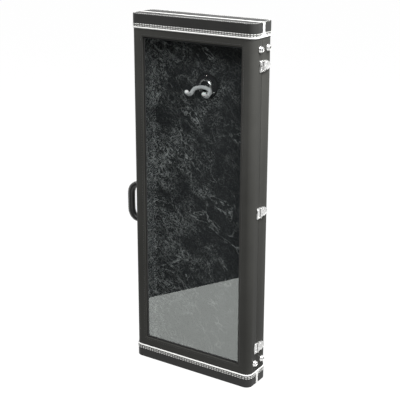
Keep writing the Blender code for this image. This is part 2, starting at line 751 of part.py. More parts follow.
def lock_plug_mesh():
    """Return the lock's plug with its keyway, about its own axis."""
    top = BAIL_PIVOT_HEIGHT - BAIL_WIRE_RADIUS - CLEARANCE
    plug = cylinder_mesh("lock_plug", LOCK_RADIUS, -LOCK_DEPTH, top, "X", steps=ROUND_STEPS)
    keyway = box_mesh(
        "keyway", (top - KEYWAY_DEPTH, -KEYWAY_WIDTH / 2, -KEYWAY_LENGTH / 2),
        (top + OVERRUN, KEYWAY_WIDTH / 2, KEYWAY_LENGTH / 2))
    return combined_mesh("lock_plug", plug, cut=(keyway,))


def add_latches():
    """Add three draw latches: plate, lever and bail on the base, catch on the lid."""
    plate, lever, bail = latch_plate_mesh(), latch_lever_mesh(), latch_bail_mesh()
    catch = latch_catch_mesh("latch_catch", False)
    locked_catch = latch_catch_mesh("latch_catch_locked", True)
    bail_offset = (BAIL_PIVOT_HEIGHT - LATCH_PIVOT_HEIGHT, BAIL_PIVOT_INSET - LATCH_PIVOT_INSET, 0)
    for place, height in LATCH_HEIGHTS.items():
        seat = (SIDE_X, PARTING_Y, height)
        pivot = (SIDE_X + LATCH_PIVOT_HEIGHT, PARTING_Y + LATCH_PIVOT_INSET, height)
        add_to_half("base", f"latch_plate_{place}", plate, chrome(), seat)
        lever_axis = add_empty(f"latch_axis_{place}", pivot)
        add_part(f"latch_lever_{place}", lever, chrome(), lever_axis)
        bail_axis = add_empty(f"bail_axis_{place}", bail_offset)
        bail_axis.parent = lever_axis
        add_part(f"latch_bail_{place}", bail, chrome(), bail_axis)
        add_to_half("lid", f"latch_catch_{place}", locked_catch if place == "top" else catch, chrome(), seat)
    lock_place = Vector((SIDE_X, PARTING_Y - LOCK_INSET, LATCH_HEIGHTS["top"]))
    lock_axis = add_empty("lock_axis", lock_place - LID_AXIS)
    lock_axis.parent = bpy.data.objects["lid_axis"]
    add_part("lock_plug", lock_plug_mesh(), chrome(), lock_axis)


# Hinges

def hinge_leaf_mesh(name, away, knuckles):
    """Return a hinge leaf that lies away from the axis, with its share of the knuckles."""
    half = HINGE_LENGTH / 2
    inner_x = HINGE_AXIS_OUT - CLEARANCE
    outer_x = inner_x - HINGE_SHEET
    near, far = sorted((away * HINGE_FINGER, away * HINGE_LEAF_WIDTH))
    plate = box_mesh(name, (outer_x, near, -half), (inner_x, far, half), PLATE_CORNER_RADIUS, 0)
    joined, bores = [], []
    for low, high in knuckles:
        root = sorted((0, away * (HINGE_FINGER + KNUCKLE_RADIUS)))
        joined.append(box_mesh("hinge_finger", (outer_x, root[0], low), (inner_x, root[1], high)))
        joined.append(cylinder_mesh("hinge_knuckle", KNUCKLE_RADIUS, low, high))
    reach = half + OVERRUN
    bores.append(cylinder_mesh("hinge_bore", HINGE_PIN_RADIUS + CLEARANCE, -reach, reach))
    return combined_mesh(name, plate, joined, bores)


def hinge_pin_mesh():
    """Return the hinge pin with a head at each end."""
    half = HINGE_LENGTH / 2
    reach = half + CLEARANCE + HINGE_PIN_HEAD_HEIGHT / 2
    shaft = cylinder_mesh("hinge_pin", HINGE_PIN_RADIUS, -reach, reach)
    heads = []
    for side in (-1, 1):
        ends = sorted((side * (half + CLEARANCE), side * (half + CLEARANCE + HINGE_PIN_HEAD_HEIGHT)))
        heads.append(cylinder_mesh("hinge_pin_head", HINGE_PIN_HEAD_RADIUS, *ends))
    return combined_mesh("hinge_pin", shaft, heads)


def add_hinges():
    """Add three three-knuckle hinges along the left parting edge."""
    half = HINGE_LENGTH / 2
    third = HINGE_LENGTH / 3
    gap = CLEARANCE / 2
    outer_knuckles = ((-half, -half + third - gap), (half - third + gap, half))
    base_leaf = hinge_leaf_mesh("hinge_base_leaf", 1, outer_knuckles)
    lid_leaf = hinge_leaf_mesh("hinge_lid_leaf", -1, ((-third / 2 + gap, third / 2 - gap),))
    pin = hinge_pin_mesh()
    for place, height in HINGE_HEIGHTS.items():
        seat = (LID_AXIS.x, LID_AXIS.y, height)
        add_to_half("base", f"hinge_base_leaf_{place}", base_leaf, chrome(), seat)
        add_to_half("base", f"hinge_pin_{place}", pin, chrome(), seat)
        add_to_half("lid", f"hinge_lid_leaf_{place}", lid_leaf, chrome(), seat)


# Feet

FOOT_PROFILE_SHARES = ((0, 0.68), (1, 0.68), (1.12, 0.86))
FOOT_DOME_SHARES = (
    (0.52, 1.0), (0.74, 0.86), (0.88, 0.56), (0.93, 0.28), (1.0, 0.24), (1.0, 0.0), (0.0, 0.0))


def add_feet():
    """Add the domed feet, two on each half, each with a recess for its screw."""
    profile = [(FOOT_SCREW_RADIUS * radius, FOOT_HEIGHT * height) for radius, height in FOOT_PROFILE_SHARES]
    profile += [(FOOT_RADIUS * radius, FOOT_HEIGHT * height) for radius, height in FOOT_DOME_SHARES]
    turn = (0, math.radians(90), 0)
    for half, from_front in (("lid", LID_FOOT_FROM_FRONT), ("base", BASE_FOOT_FROM_FRONT)):
        for end, height in (("top", CASE_HEIGHT - FOOT_FROM_END), ("bottom", FOOT_FROM_END)):
            place = (SIDE_X + CLEARANCE, FRONT_Y + from_front, height)
            add_turned(half, f"foot_{half}_{end}", profile, chrome(), place, turn)


# Handle

HANDLE_PATH_SHARES = (
    (-0.09, 1.0), (0.10, 1.0), (0.36, 0.965), (0.62, 0.90), (0.82, 0.78), (0.94, 0.62), (1.0, 0.40))
HANDLE_SWELL_SHARES = (0, 0, 0.35, 0.70, 0.89, 1, 1)


def handle_grip_mesh():
    """Return the moulded handle, swelling from its pivot ends to the grip."""
    half = [(-HANDLE_REACH * out, 0, HANDLE_SPREAD * up) for out, up in HANDLE_PATH_SHARES]
    path = half + [(x, y, -z) for x, y, z in reversed(half)]
    swell = HANDLE_GRIP_RADIUS / HANDLE_END_RADIUS - 1
    shares = [1 + swell * share for share in HANDLE_SWELL_SHARES]
    grip = tube_mesh("handle_grip", path, HANDLE_END_RADIUS, shares + shares[::-1], 4)
    bores = []
    for side in (-1, 1):
        near, far = HANDLE_SPREAD - HANDLE_GRIP_RADIUS, HANDLE_SPREAD + HANDLE_GRIP_RADIUS
        ends = sorted((side * near, side * far))
        bores.append(cylinder_mesh("handle_bore", HANDLE_PIN_RADIUS + CLEARANCE, *ends))
    return combined_mesh("handle_grip", grip, cut=bores)


def bracket_mesh():
    """Return a handle bracket: a plate with two lugs and the pin between them."""
    half_width, half_height = BRACKET_WIDTH / 2, BRACKET_HEIGHT / 2
    low, high = CLEARANCE - HANDLE_PIVOT_OUT, CLEARANCE + BRACKET_SHEET - HANDLE_PIVOT_OUT
    plate = box_mesh(
        "handle_bracket", (-high, -half_width, -half_height), (-low, half_width, half_height), LUG_RADIUS, 0)
    inner = HANDLE_END_RADIUS + LUG_GAP
    lugs = []
    for side in (-1, 1):
        ends = sorted((side * inner, side * (inner + BRACKET_SHEET)))
        root = -(low + high) / 2
        head = arc((0, 0), LUG_RADIUS, 180, 360, PIN_STEPS // 2)
        outline = [(-LUG_RADIUS, root), *head, (LUG_RADIUS, root)]
        lugs.append(outline_mesh("handle_lug", outline, BRACKET_SHEET, FACING_DOWN, -ends[1]))
    reach = inner + BRACKET_SHEET / 2
    pin = cylinder_mesh("handle_pin", HANDLE_PIN_RADIUS, -reach, reach)
    return combined_mesh("handle_bracket", plate, joined=(*lugs, pin))


def add_handle():
    """Add the handle and the two brackets that it swings in."""
    pivot = (-SIDE_X - HANDLE_PIVOT_OUT, PARTING_Y + HANDLE_INSET, HANDLE_HEIGHT)
    axis = add_empty("handle_axis", pivot)
    add_part("handle_grip", handle_grip_mesh(), leatherette(), axis)
    bracket = bracket_mesh()
    for place, side in (("top", 1), ("bottom", -1)):
        seat = (pivot[0], pivot[1], HANDLE_HEIGHT + side * HANDLE_SPREAD)
        add_to_half("base", f"handle_bracket_{place}", bracket, chrome(), seat)


# Hanger

def ring_profile(bore, radius, height, rounding):
    """Return the profile of a turned ring with a rounded outer rim, top to bottom on its outer side."""
    rim = arc((radius - rounding, height - rounding), rounding, 90, 0, CORNER_STEPS)
    return [(bore, height), *rim, (radius, 0), (bore, 0)]


def yoke_path(start):
    """Return the yoke's path on its right side: from near the shank out, forward, down and up to the tip."""
    corners = [(start, 0, -YOKE_CROWN * start / YOKE_HALF_WIDTH), (YOKE_HALF_WIDTH, 0, -YOKE_CROWN),
               (YOKE_HALF_WIDTH, -YOKE_REACH * YOKE_DIP_SHARE, -YOKE_FALL - YOKE_DIP),
               (YOKE_HALF_WIDTH, -YOKE_REACH, -YOKE_FALL)]
    return rounded_path(corners, min(YOKE_BEND_RADIUS, YOKE_REACH * YOKE_BEND_SHARE))


def mirrored(path):
    return [(-place[0], place[1], place[2]) for place in path]


def add_hanger():
    """Add the flange, the chrome collar and the padded yoke that turns in it."""
    toward_front = (math.radians(90), 0, 0)
    bore = SHANK_RADIUS + CLEARANCE
    flange_back = LINING_FACE_Y - CLEARANCE
    flange = ring_profile(bore, FLANGE_RADIUS, FLANGE_THICKNESS, FLANGE_THICKNESS / 2)
    place = (0, flange_back, HANGER_HEIGHT)
    add_turned("base", "hanger_flange", flange, leatherette(), place, toward_front, True)
    collar_back = flange_back - FLANGE_THICKNESS - CLEARANCE
    collar = ring_profile(bore, COLLAR_RADIUS, COLLAR_HEIGHT, COLLAR_ROUNDING)
    place = (0, collar_back, HANGER_HEIGHT)
    add_turned("base", "hanger_collar", collar, chrome(), place, toward_front, True)

    axis = add_empty("yoke_axis", (0, YOKE_BAR_Y, HANGER_HEIGHT))
    arm = yoke_path(0)
    whole = mirrored(arm)[::-1] + arm[1:]
    rod = tube_mesh("yoke_rod", whole, YOKE_ROD_RADIUS)
    shank = cylinder_mesh("yoke_shank", SHANK_RADIUS, 0, flange_back - CLEARANCE - YOKE_BAR_Y, "Y")
    add_part("yoke_rod", combined_mesh("yoke_rod", rod, joined=(shank,)), chrome(), axis)

    sleeve_start = SHANK_RADIUS + CLEARANCE
    tip = Vector(arm[-1])
    lead = (tip - Vector(arm[-2])).normalized()
    past_tip = tip + lead * OVERRUN
    bore_path = [*mirrored([past_tip]), *whole, past_tip]
    bore_radius = YOKE_ROD_RADIUS + CLEARANCE
    ball_centre = tip + lead * (BALL_RADIUS - BALL_SOCKET_DEPTH + CLEARANCE)
    sleeve_stop = tip - lead * (BALL_SOCKET_DEPTH + CLEARANCE)
    sleeve_arm = [*yoke_path(sleeve_start)[:-1], sleeve_stop]
    for place, flip in (("right", False), ("left", True)):
        side = mirrored if flip else list
        cover = tube_mesh("sleeve_cover", side(sleeve_arm), YOKE_ROD_RADIUS + SLEEVE_THICKNESS)
        core = tube_mesh("sleeve_core", bore_path, bore_radius)
        sleeve = combined_mesh(f"yoke_sleeve_{place}", cover, cut=(core,))
        add_part(f"yoke_sleeve_{place}", sleeve, grey_foam(), axis)
        ball = ball_mesh(side([ball_centre])[0])
        mouth = tip - lead * (BALL_SOCKET_DEPTH + OVERRUN)
        socket = socket_mesh(side([tip, mouth]), bore_radius)
        cup = combined_mesh("yoke_ball", ball, cut=(socket,))
        add_part(f"yoke_ball_{place}", cup, pale_plastic(), axis)


def ball_mesh(centre):
    bm = bmesh.new()
    bmesh.ops.create_uvsphere(bm, u_segments=PIN_STEPS, v_segments=PIN_STEPS // 2 + 2, radius=BALL_RADIUS)
    bmesh.ops.translate(bm, vec=centre, verts=bm.verts)
    return mesh_from(bm, "yoke_ball")


def socket_mesh(path, radius):
    """Return the blind hole of a ball: from a clearance past the rod's end, outwards."""
    deep, out = Vector(path[0]), Vector(path[1])
    lead = (deep - out).normalized()
    return tube_mesh("ball_socket", [deep + lead * CLEARANCE, out], radius, sides=4)


def main():
    clear_scene()
    add_empty("lid_axis", LID_AXIS)
    add_shells()
    add_linings()
    add_caps()
    add_edge_strips()
    add_piping()
    add_window()
    add_latches()
    add_hinges()
    add_feet()
    add_handle()
    add_hanger()


main()
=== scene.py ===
"""Guitar display case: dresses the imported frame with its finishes, stitching, hardware and lining."""

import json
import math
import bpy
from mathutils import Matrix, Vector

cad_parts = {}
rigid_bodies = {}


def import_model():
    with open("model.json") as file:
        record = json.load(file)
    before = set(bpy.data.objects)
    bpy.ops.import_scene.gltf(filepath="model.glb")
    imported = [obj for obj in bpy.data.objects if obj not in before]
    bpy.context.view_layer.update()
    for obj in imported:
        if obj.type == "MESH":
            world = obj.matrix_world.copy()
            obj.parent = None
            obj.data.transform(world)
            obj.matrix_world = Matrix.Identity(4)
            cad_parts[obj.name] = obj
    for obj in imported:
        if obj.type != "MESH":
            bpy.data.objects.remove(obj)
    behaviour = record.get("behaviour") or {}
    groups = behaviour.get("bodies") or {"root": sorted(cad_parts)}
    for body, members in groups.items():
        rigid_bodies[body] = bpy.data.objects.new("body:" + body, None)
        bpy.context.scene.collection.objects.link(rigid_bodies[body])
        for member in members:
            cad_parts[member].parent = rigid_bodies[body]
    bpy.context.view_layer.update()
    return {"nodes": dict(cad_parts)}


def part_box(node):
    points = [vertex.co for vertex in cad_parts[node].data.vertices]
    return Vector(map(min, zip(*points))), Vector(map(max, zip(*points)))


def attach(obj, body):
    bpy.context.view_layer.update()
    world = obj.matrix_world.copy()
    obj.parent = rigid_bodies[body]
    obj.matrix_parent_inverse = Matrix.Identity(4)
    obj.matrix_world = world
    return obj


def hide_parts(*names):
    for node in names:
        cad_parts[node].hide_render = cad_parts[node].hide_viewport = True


bl_info = {
    "name": "Guitar Display Case",
    "version": (1, 0, 0),
    "blender": (4, 5, 0),
    "location": "View3D > Sidebar > Display Case",
    "description": "Builds the covering, stitching, hardware and lining of a guitar display case",
    "category": "Object",
}

import bmesh
import bpy
from bpy.props import FloatProperty, FloatVectorProperty, IntProperty, PointerProperty
from mathutils import Matrix, Vector, noise

for old in list(bpy.data.objects):
    bpy.data.objects.remove(old, do_unlink=True)
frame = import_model()

# The ends with their way out, and the halves with their way from the parting line
ENDS = {"top": 1, "bottom": -1}
HALVES = {"base": 1, "lid": -1}
PLACES = ("top", "middle", "bottom")
SIDES = (-1, 1)
FLIP = Vector((-1, 1, 1))


def middle_z(node):
    """Return the height of a node's middle."""
    return sum(corner.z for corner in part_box(node)) / 2


# Places read from the frame: metres, +Z up, window towards -Y, latches towards +X
BASE_LOW, BASE_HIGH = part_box("base_shell")
LID_LOW, LID_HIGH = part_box("lid_shell")
SIDE = BASE_HIGH.x
FRONT, BACK = LID_LOW.y, BASE_HIGH.y
PARTING = (LID_HIGH.y + BASE_LOW.y) / 2
LOW, HIGH = BASE_LOW.z, BASE_HIGH.z
CAP_TOP_LOW, CAP_TOP_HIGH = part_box("lid_cap_top")
HEIGHT = CAP_TOP_HIGH.z
CAP_HEIGHT = HEIGHT - CAP_TOP_LOW.z
CAP_PROUD = CAP_TOP_HIGH.x - SIDE
CAP_OPEN_Y = {"base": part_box("base_cap_top")[0].y, "lid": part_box("lid_cap_top")[1].y}
PIPING_Z = {end: middle_z(f"lid_piping_{end}") for end in ENDS}
LATCH_Z = {place: middle_z(f"latch_plate_{place}") for place in PLACES}
LATCH_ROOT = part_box("latch_catch_top")[0].y
LINING_LOW, LINING_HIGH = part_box("base_lining")
GASKET_LOW, GASKET_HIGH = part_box("window_gasket")

# Sizes shared by more than one piece
GAP = 0.0003
EDGE_RADIUS = 0.020
WALL = 0.008
WINDOW_CORNER = 0.003
TAPE_START = 0.0040
TAPE_WIDTH = 0.0078
TAPE_MARGIN = 0.0014
STITCH_MARGIN = 0.003
SHEET = 0.0012
SUNK = 0.0002
LATCH_CLEAR = 0.0004
LATCH_ROUNDNESS = 2.4
PIN_OUT, PIN_IN = 0.005, 0.007
PANE_MIRROR = 0.20


def length(name, description, default):
    """Return a property that holds a length."""
    return FloatProperty(name=name, description=description, default=default, unit="LENGTH")


def tint(name, description, default):
    """Return a property that holds a colour."""
    return FloatVectorProperty(name=name, description=description, default=default, subtype="COLOR")


class CaseSizes(bpy.types.PropertyGroup):
    """Sizes of the covering, stitching and trim."""

    edge_round: length("Edge round", "Rounding of the covered board's edges", 0.0012)
    cap_round: length("Cap round", "Rounding of the caps at the ends of the case", 0.0022)
    cap_thickness: length("Cap thickness", "Thickness of the caps' leatherette", 0.0015)
    piping_radius: length("Piping radius", "Radius of the white piping", 0.0025)
    band_width: length("Band width", "Width of the white band beside the parting line", 0.0115)
    stitch_pitch: length("Stitch pitch", "Distance between stitches", 0.0092)
    stitch_length: length("Stitch length", "Length of a stitch on the caps", 0.0062)
    thread: length("Thread", "Thickness of the thread", 0.0017)
    stitch_rows: IntProperty(
        name="Stitch rows", description="Rows of stitches round each cap", default=2, min=1, max=3)
    velvet_grid: length("Velvet grid", "Spacing of the velvet's surface points", 0.004)
    velvet_crush: length("Velvet crush", "Depth of the crushed pile", 0.0022)
    rivet_radius: length("Rivet radius", "Radius of the rivets' heads", 0.0021)


class CaseColours(bpy.types.PropertyGroup):
    """Colours of the finishes, as linear values."""

    vinyl: tint("Vinyl", "Pebbled covering of the boards", (0.041, 0.041, 0.038))
    leatherette: tint("Leatherette", "Caps and handle", (0.028, 0.028, 0.027))
    piping: tint("Piping", "Piping and band", (0.86, 0.86, 0.84))
    thread: tint("Thread", "Thread of the caps' seams", (0.78, 0.78, 0.76))
    velvet: tint("Velvet", "Deep pile of the lining", (0.011, 0.013, 0.0145))
    # The velvet's lights are painted highlights of the crushed pile
    velvet_light: tint("Velvet lights", "Crushed pile that catches the light", (0.50, 0.52, 0.51))
    chrome: tint("Chrome", "Plated hardware", (0.84, 0.84, 0.83))
    foam: tint("Foam", "Sleeves of the yoke", (0.62, 0.63, 0.63))
    tips: tint("Tips", "Balls at the yoke's ends", (0.96, 0.96, 0.95))
    floor: tint("Floor", "Studio floor and background", (0.93, 0.93, 0.93))


def sizes():
    return bpy.context.scene.display_case_sizes


def colours():
    return bpy.context.scene.display_case_colours


# Finishes

def add_node(tree, kind, **values):
    """Add a node; values name its inputs, with spaces as underscores, or its settings."""
    made = tree.nodes.new("ShaderNode" + kind)
    for name, value in values.items():
        socket = made.inputs.get(name.replace("_", " "))
        if socket is not None:
            socket.default_value = value
        else:
            setattr(made, name, value)
    return made


def surface_place(tree, stretch=(1, 1, 1), turn=(0, 0, 0)):
    """Return object coordinates in metres, turned and then stretched."""
    place = add_node(tree, "TexCoord").outputs["Object"]
    for setting, value, plain in (("Rotation", turn, (0, 0, 0)), ("Scale", stretch, (1, 1, 1))):
        if value != plain:
            mapping = add_node(tree, "Mapping", **{setting: value})
            tree.links.new(place, mapping.inputs["Vector"])
            place = mapping.outputs["Vector"]
    return place


def noise_value(tree, place, scale, detail=4.0, roughness=0.55, distortion=0.0):
    """Return a noise texture's value."""
    made = add_node(tree, "TexNoise", Scale=scale, Detail=detail, Roughness=roughness, Distortion=distortion)
    tree.links.new(place, made.inputs["Vector"])
    return made.outputs["Fac"]


def cell_value(tree, place, scale, feature="F1"):
    """Return how far a place is from the middle of its cell."""
    made = add_node(tree, "TexVoronoi", Scale=scale, feature=feature)
    tree.links.new(place, made.inputs["Vector"])
    return made.outputs["Distance"]


def combine(tree, operation, first, second):
    """Return a Math node's value of two inputs, each a socket or a number."""
    made = add_node(tree, "Math", operation=operation)
    for socket, value in zip(made.inputs, (first, second)):
        if isinstance(value, (int, float)):
            socket.default_value = value
        else:
            tree.links.new(value, socket)
    return made.outputs["Value"]


def remap(tree, value, stops):
    """Return a colour ramp of a value; stops are pairs of a position and a grey or a colour."""
    ramp = add_node(tree, "ValToRGB")
    elements = ramp.color_ramp.elements
    while len(elements) < len(stops):
        elements.new(0.5)
    for element, (position, shade) in zip(elements, stops):
        element.position = position
        element.color = (shade, shade, shade, 1) if isinstance(shade, float) else (*shade, 1)
    tree.links.new(value, ramp.inputs["Fac"])
    return ramp.outputs["Color"]


def scaled(colour, factor):
    """Return a colour that is lighter or darker by a factor."""
    return tuple(channel * factor for channel in colour)


def finish(name, colour, roughness, metallic=0.0, **sockets):
    """Return a new Principled material, its node tree and its shader."""
    made = bpy.data.materials.new(name)
    made.use_nodes = True
    shader = made.node_tree.nodes["Principled BSDF"]
    values = {"Base_Color": (*colour, 1), "Roughness": roughness, "Metallic": metallic, **sockets}
    for socket, value in values.items():
        shader.inputs[socket.replace("_", " ")].default_value = value
    return made, made.node_tree, shader


def add_bump(tree, shader, height, strength, distance):
    """Feed a height into the shader's normal, over any bump that is there already."""
    bump = add_node(tree, "Bump", Strength=strength, Distance=distance)
    tree.links.new(height, bump.inputs["Height"])
    before = shader.inputs["Normal"].links
    if before:
        tree.links.new(before[0].from_socket, bump.inputs["Normal"])
    tree.links.new(bump.outputs["Normal"], shader.inputs["Normal"])


def shade_colour(tree, shader, value, colour, dark, light):
    """Vary the base colour with a value, between a darker and a lighter share of it."""
    stops = ((0.25, scaled(colour, dark)), (0.75, scaled(colour, light)))
    tree.links.new(remap(tree, value, stops), shader.inputs["Base Color"])


def shade_roughness(tree, shader, value, low, high):
    """Vary the roughness with a value."""
    tree.links.new(remap(tree, value, ((0.3, low), (0.7, high))), shader.inputs["Roughness"])


def layered(name, colour, roughness, *layers, metallic=0.0, **sockets):
    """Return a finish in layers: each a noise or cells, with the shades, gloss and bump that it drives."""
    made, tree, shader = finish(name, colour, roughness, metallic, **sockets)
    for layer in layers:
        texture = cell_value if "cells" in layer else noise_value
        place = surface_place(tree, layer.get("stretch", (1, 1, 1)))
        value = texture(tree, place, *layer.get("cells", layer.get("noise")))
        if "shades" in layer:
            shade_colour(tree, shader, value, colour, *layer["shades"])
        if "gloss" in layer:
            shade_roughness(tree, shader, value, *layer["gloss"])
        if "bump" in layer:
            add_bump(tree, shader, value, *layer["bump"])
    return made


def grained(name, colour, roughness, grain, depth, shine=0.18):
    """Return a pebbled skin: cells of one size on a fine wrinkle, with worn, shinier patches."""
    made, tree, shader = finish(name, colour, roughness, Specular_IOR_Level=shine)
    place = surface_place(tree)
    cells = cell_value(tree, place, 1 / grain, "SMOOTH_F1")
    wrinkle = noise_value(tree, place, 0.5 / grain, 6, 0.6)
    add_bump(tree, shader, combine(tree, "ADD", cells, wrinkle), 0.55, depth)
    add_bump(tree, shader, noise_value(tree, place, 9, 2), 0.25, depth * 6)
    patches = noise_value(tree, place, 7, 5, 0.6)
    shade_colour(tree, shader, patches, colour, 0.86, 1.14)
    shade_roughness(tree, shader, patches, roughness - 0.06, roughness + 0.07)
    return made


def twisted(name, colour):
    """Return twisted thread: a slanted ply and a soft sheen."""
    made, tree, shader = finish(name, colour, 0.6, Sheen_Weight=0.3)
    place = surface_place(tree, (1, 1, 1), (0.6, 0.5, 0.3))
    plies = add_node(tree, "TexWave", Scale=420, Distortion=1.2, Detail=2)
    tree.links.new(place, plies.inputs["Vector"])
    shade_colour(tree, shader, plies.outputs["Fac"], colour, 0.72, 1.12)
    add_bump(tree, shader, plies.outputs["Fac"], 0.5, 0.0002)
    return made


def crushed_velvet(deep, light):
    """Return crushed velvet: dark pile with flattened patches, creases and specks whose highlights are
    painted into its base colour, with painted light that is stronger on the side walls and towards the left.
    """
    # Where the painted light on the side walls starts and where it is full, measured across the case
    wall_light_start, wall_light_full = 0.186, 0.196
    made, tree, shader = finish(
        "crushed_velvet", deep, 0.85, Sheen_Weight=0.25, Sheen_Roughness=0.4,
        Sheen_Tint=(0.55, 0.58, 0.62, 1))

    def times(first, second):
        return combine(tree, "MULTIPLY", first, second)

    def plus(first, second):
        return combine(tree, "ADD", first, second)

    def rising(value, low, high):
        return remap(tree, value, ((low, 0.0), (high, 1.0)))

    def ridge(value, low, full, still_full, high):
        return remap(tree, value, ((low, 0.0), (full, 1.0), (still_full, 1.0), (high, 0.0)))

    place = surface_place(tree)
    drawn = surface_place(tree, (1.0, 1.0, 0.55), (0.0, math.radians(48), 0.0))
    creases = noise_value(tree, drawn, 15, 4.5, 0.6, 0.9)
    folds = ridge(creases, 0.484, 0.498, 0.501, 0.512)
    wrinkles = ridge(noise_value(tree, drawn, 60, 4, 0.6, 1.0), 0.475, 0.497, 0.503, 0.525)
    patches = rising(noise_value(tree, place, 7.0, 4, 0.6, 0.6), 0.46, 0.64)
    split = add_node(tree, "SeparateXYZ")
    tree.links.new(place, split.inputs["Vector"])
    sideways = split.outputs["X"]
    # worn: random patches of crushed pile, plus painted light that grows towards the left
    worn = rising(plus(noise_value(tree, place, 10.0, 3, 0.6, 0.4), times(sideways, -0.75)), 0.46, 0.68)
    # walls: painted light on the side walls
    walls = rising(combine(tree, "ABSOLUTE", sideways, 0.0), wall_light_start, wall_light_full)
    specks = rising(noise_value(tree, place, 280, 3, 0.75, 0.4), 0.52, 0.66)
    # The lights below are painted highlights: specks, folds and wrinkles lightened in the base colour
    lights = times(specks, plus(plus(times(worn, 0.55), times(walls, 0.55)), 0.10))
    for lines, mask, share in ((folds, patches, 0.95), (wrinkles, worn, 0.60)):
        lights = plus(lights, times(times(lines, plus(times(mask, 0.90), 0.10)), share))
    shades = remap(tree, lights, ((0.0, tuple(deep)), (1.0, tuple(light))))
    tree.links.new(shades, shader.inputs["Base Color"])
    add_bump(tree, shader, creases, 0.7, 0.004)
    add_bump(tree, shader, noise_value(tree, place, 520, 3), 0.6, 0.0006)
    return made


def clear_sheet():
    """Return the clear sheet: a mirror on the face that is looked at, stronger at a slant, with smears."""
    made = bpy.data.materials.new("clear_acrylic")
    made.use_nodes = True
    tree = made.node_tree
    tree.nodes.remove(tree.nodes["Principled BSDF"])
    clear = add_node(tree, "BsdfTransparent", Color=(0.97, 0.98, 0.98, 1))
    mirror = add_node(tree, "BsdfGlossy", Color=(0.95, 1.0, 0.96, 1))
    smears = noise_value(tree, surface_place(tree, (1, 1, 0.3)), 14, 5, 0.6)
    tree.links.new(remap(tree, smears, ((0.35, 0.002), (0.8, 0.010))), mirror.inputs["Roughness"])
    slant = combine(tree, "POWER", add_node(tree, "LayerWeight", Blend=0.5).outputs["Facing"], 5.0)
    facing_on = combine(tree, "ADD", combine(tree, "MULTIPLY", slant, 1 - PANE_MIRROR), PANE_MIRROR)
    front = combine(tree, "SUBTRACT", 1.0, add_node(tree, "NewGeometry").outputs["Backfacing"])
    mix = add_node(tree, "MixShader")
    tree.links.new(combine(tree, "MULTIPLY", facing_on, front), mix.inputs["Fac"])
    tree.links.new(clear.outputs["BSDF"], mix.inputs[1])
    tree.links.new(mirror.outputs["BSDF"], mix.inputs[2])
    tree.links.new(mix.outputs["Shader"], tree.nodes["Material Output"].inputs["Surface"])
    return made


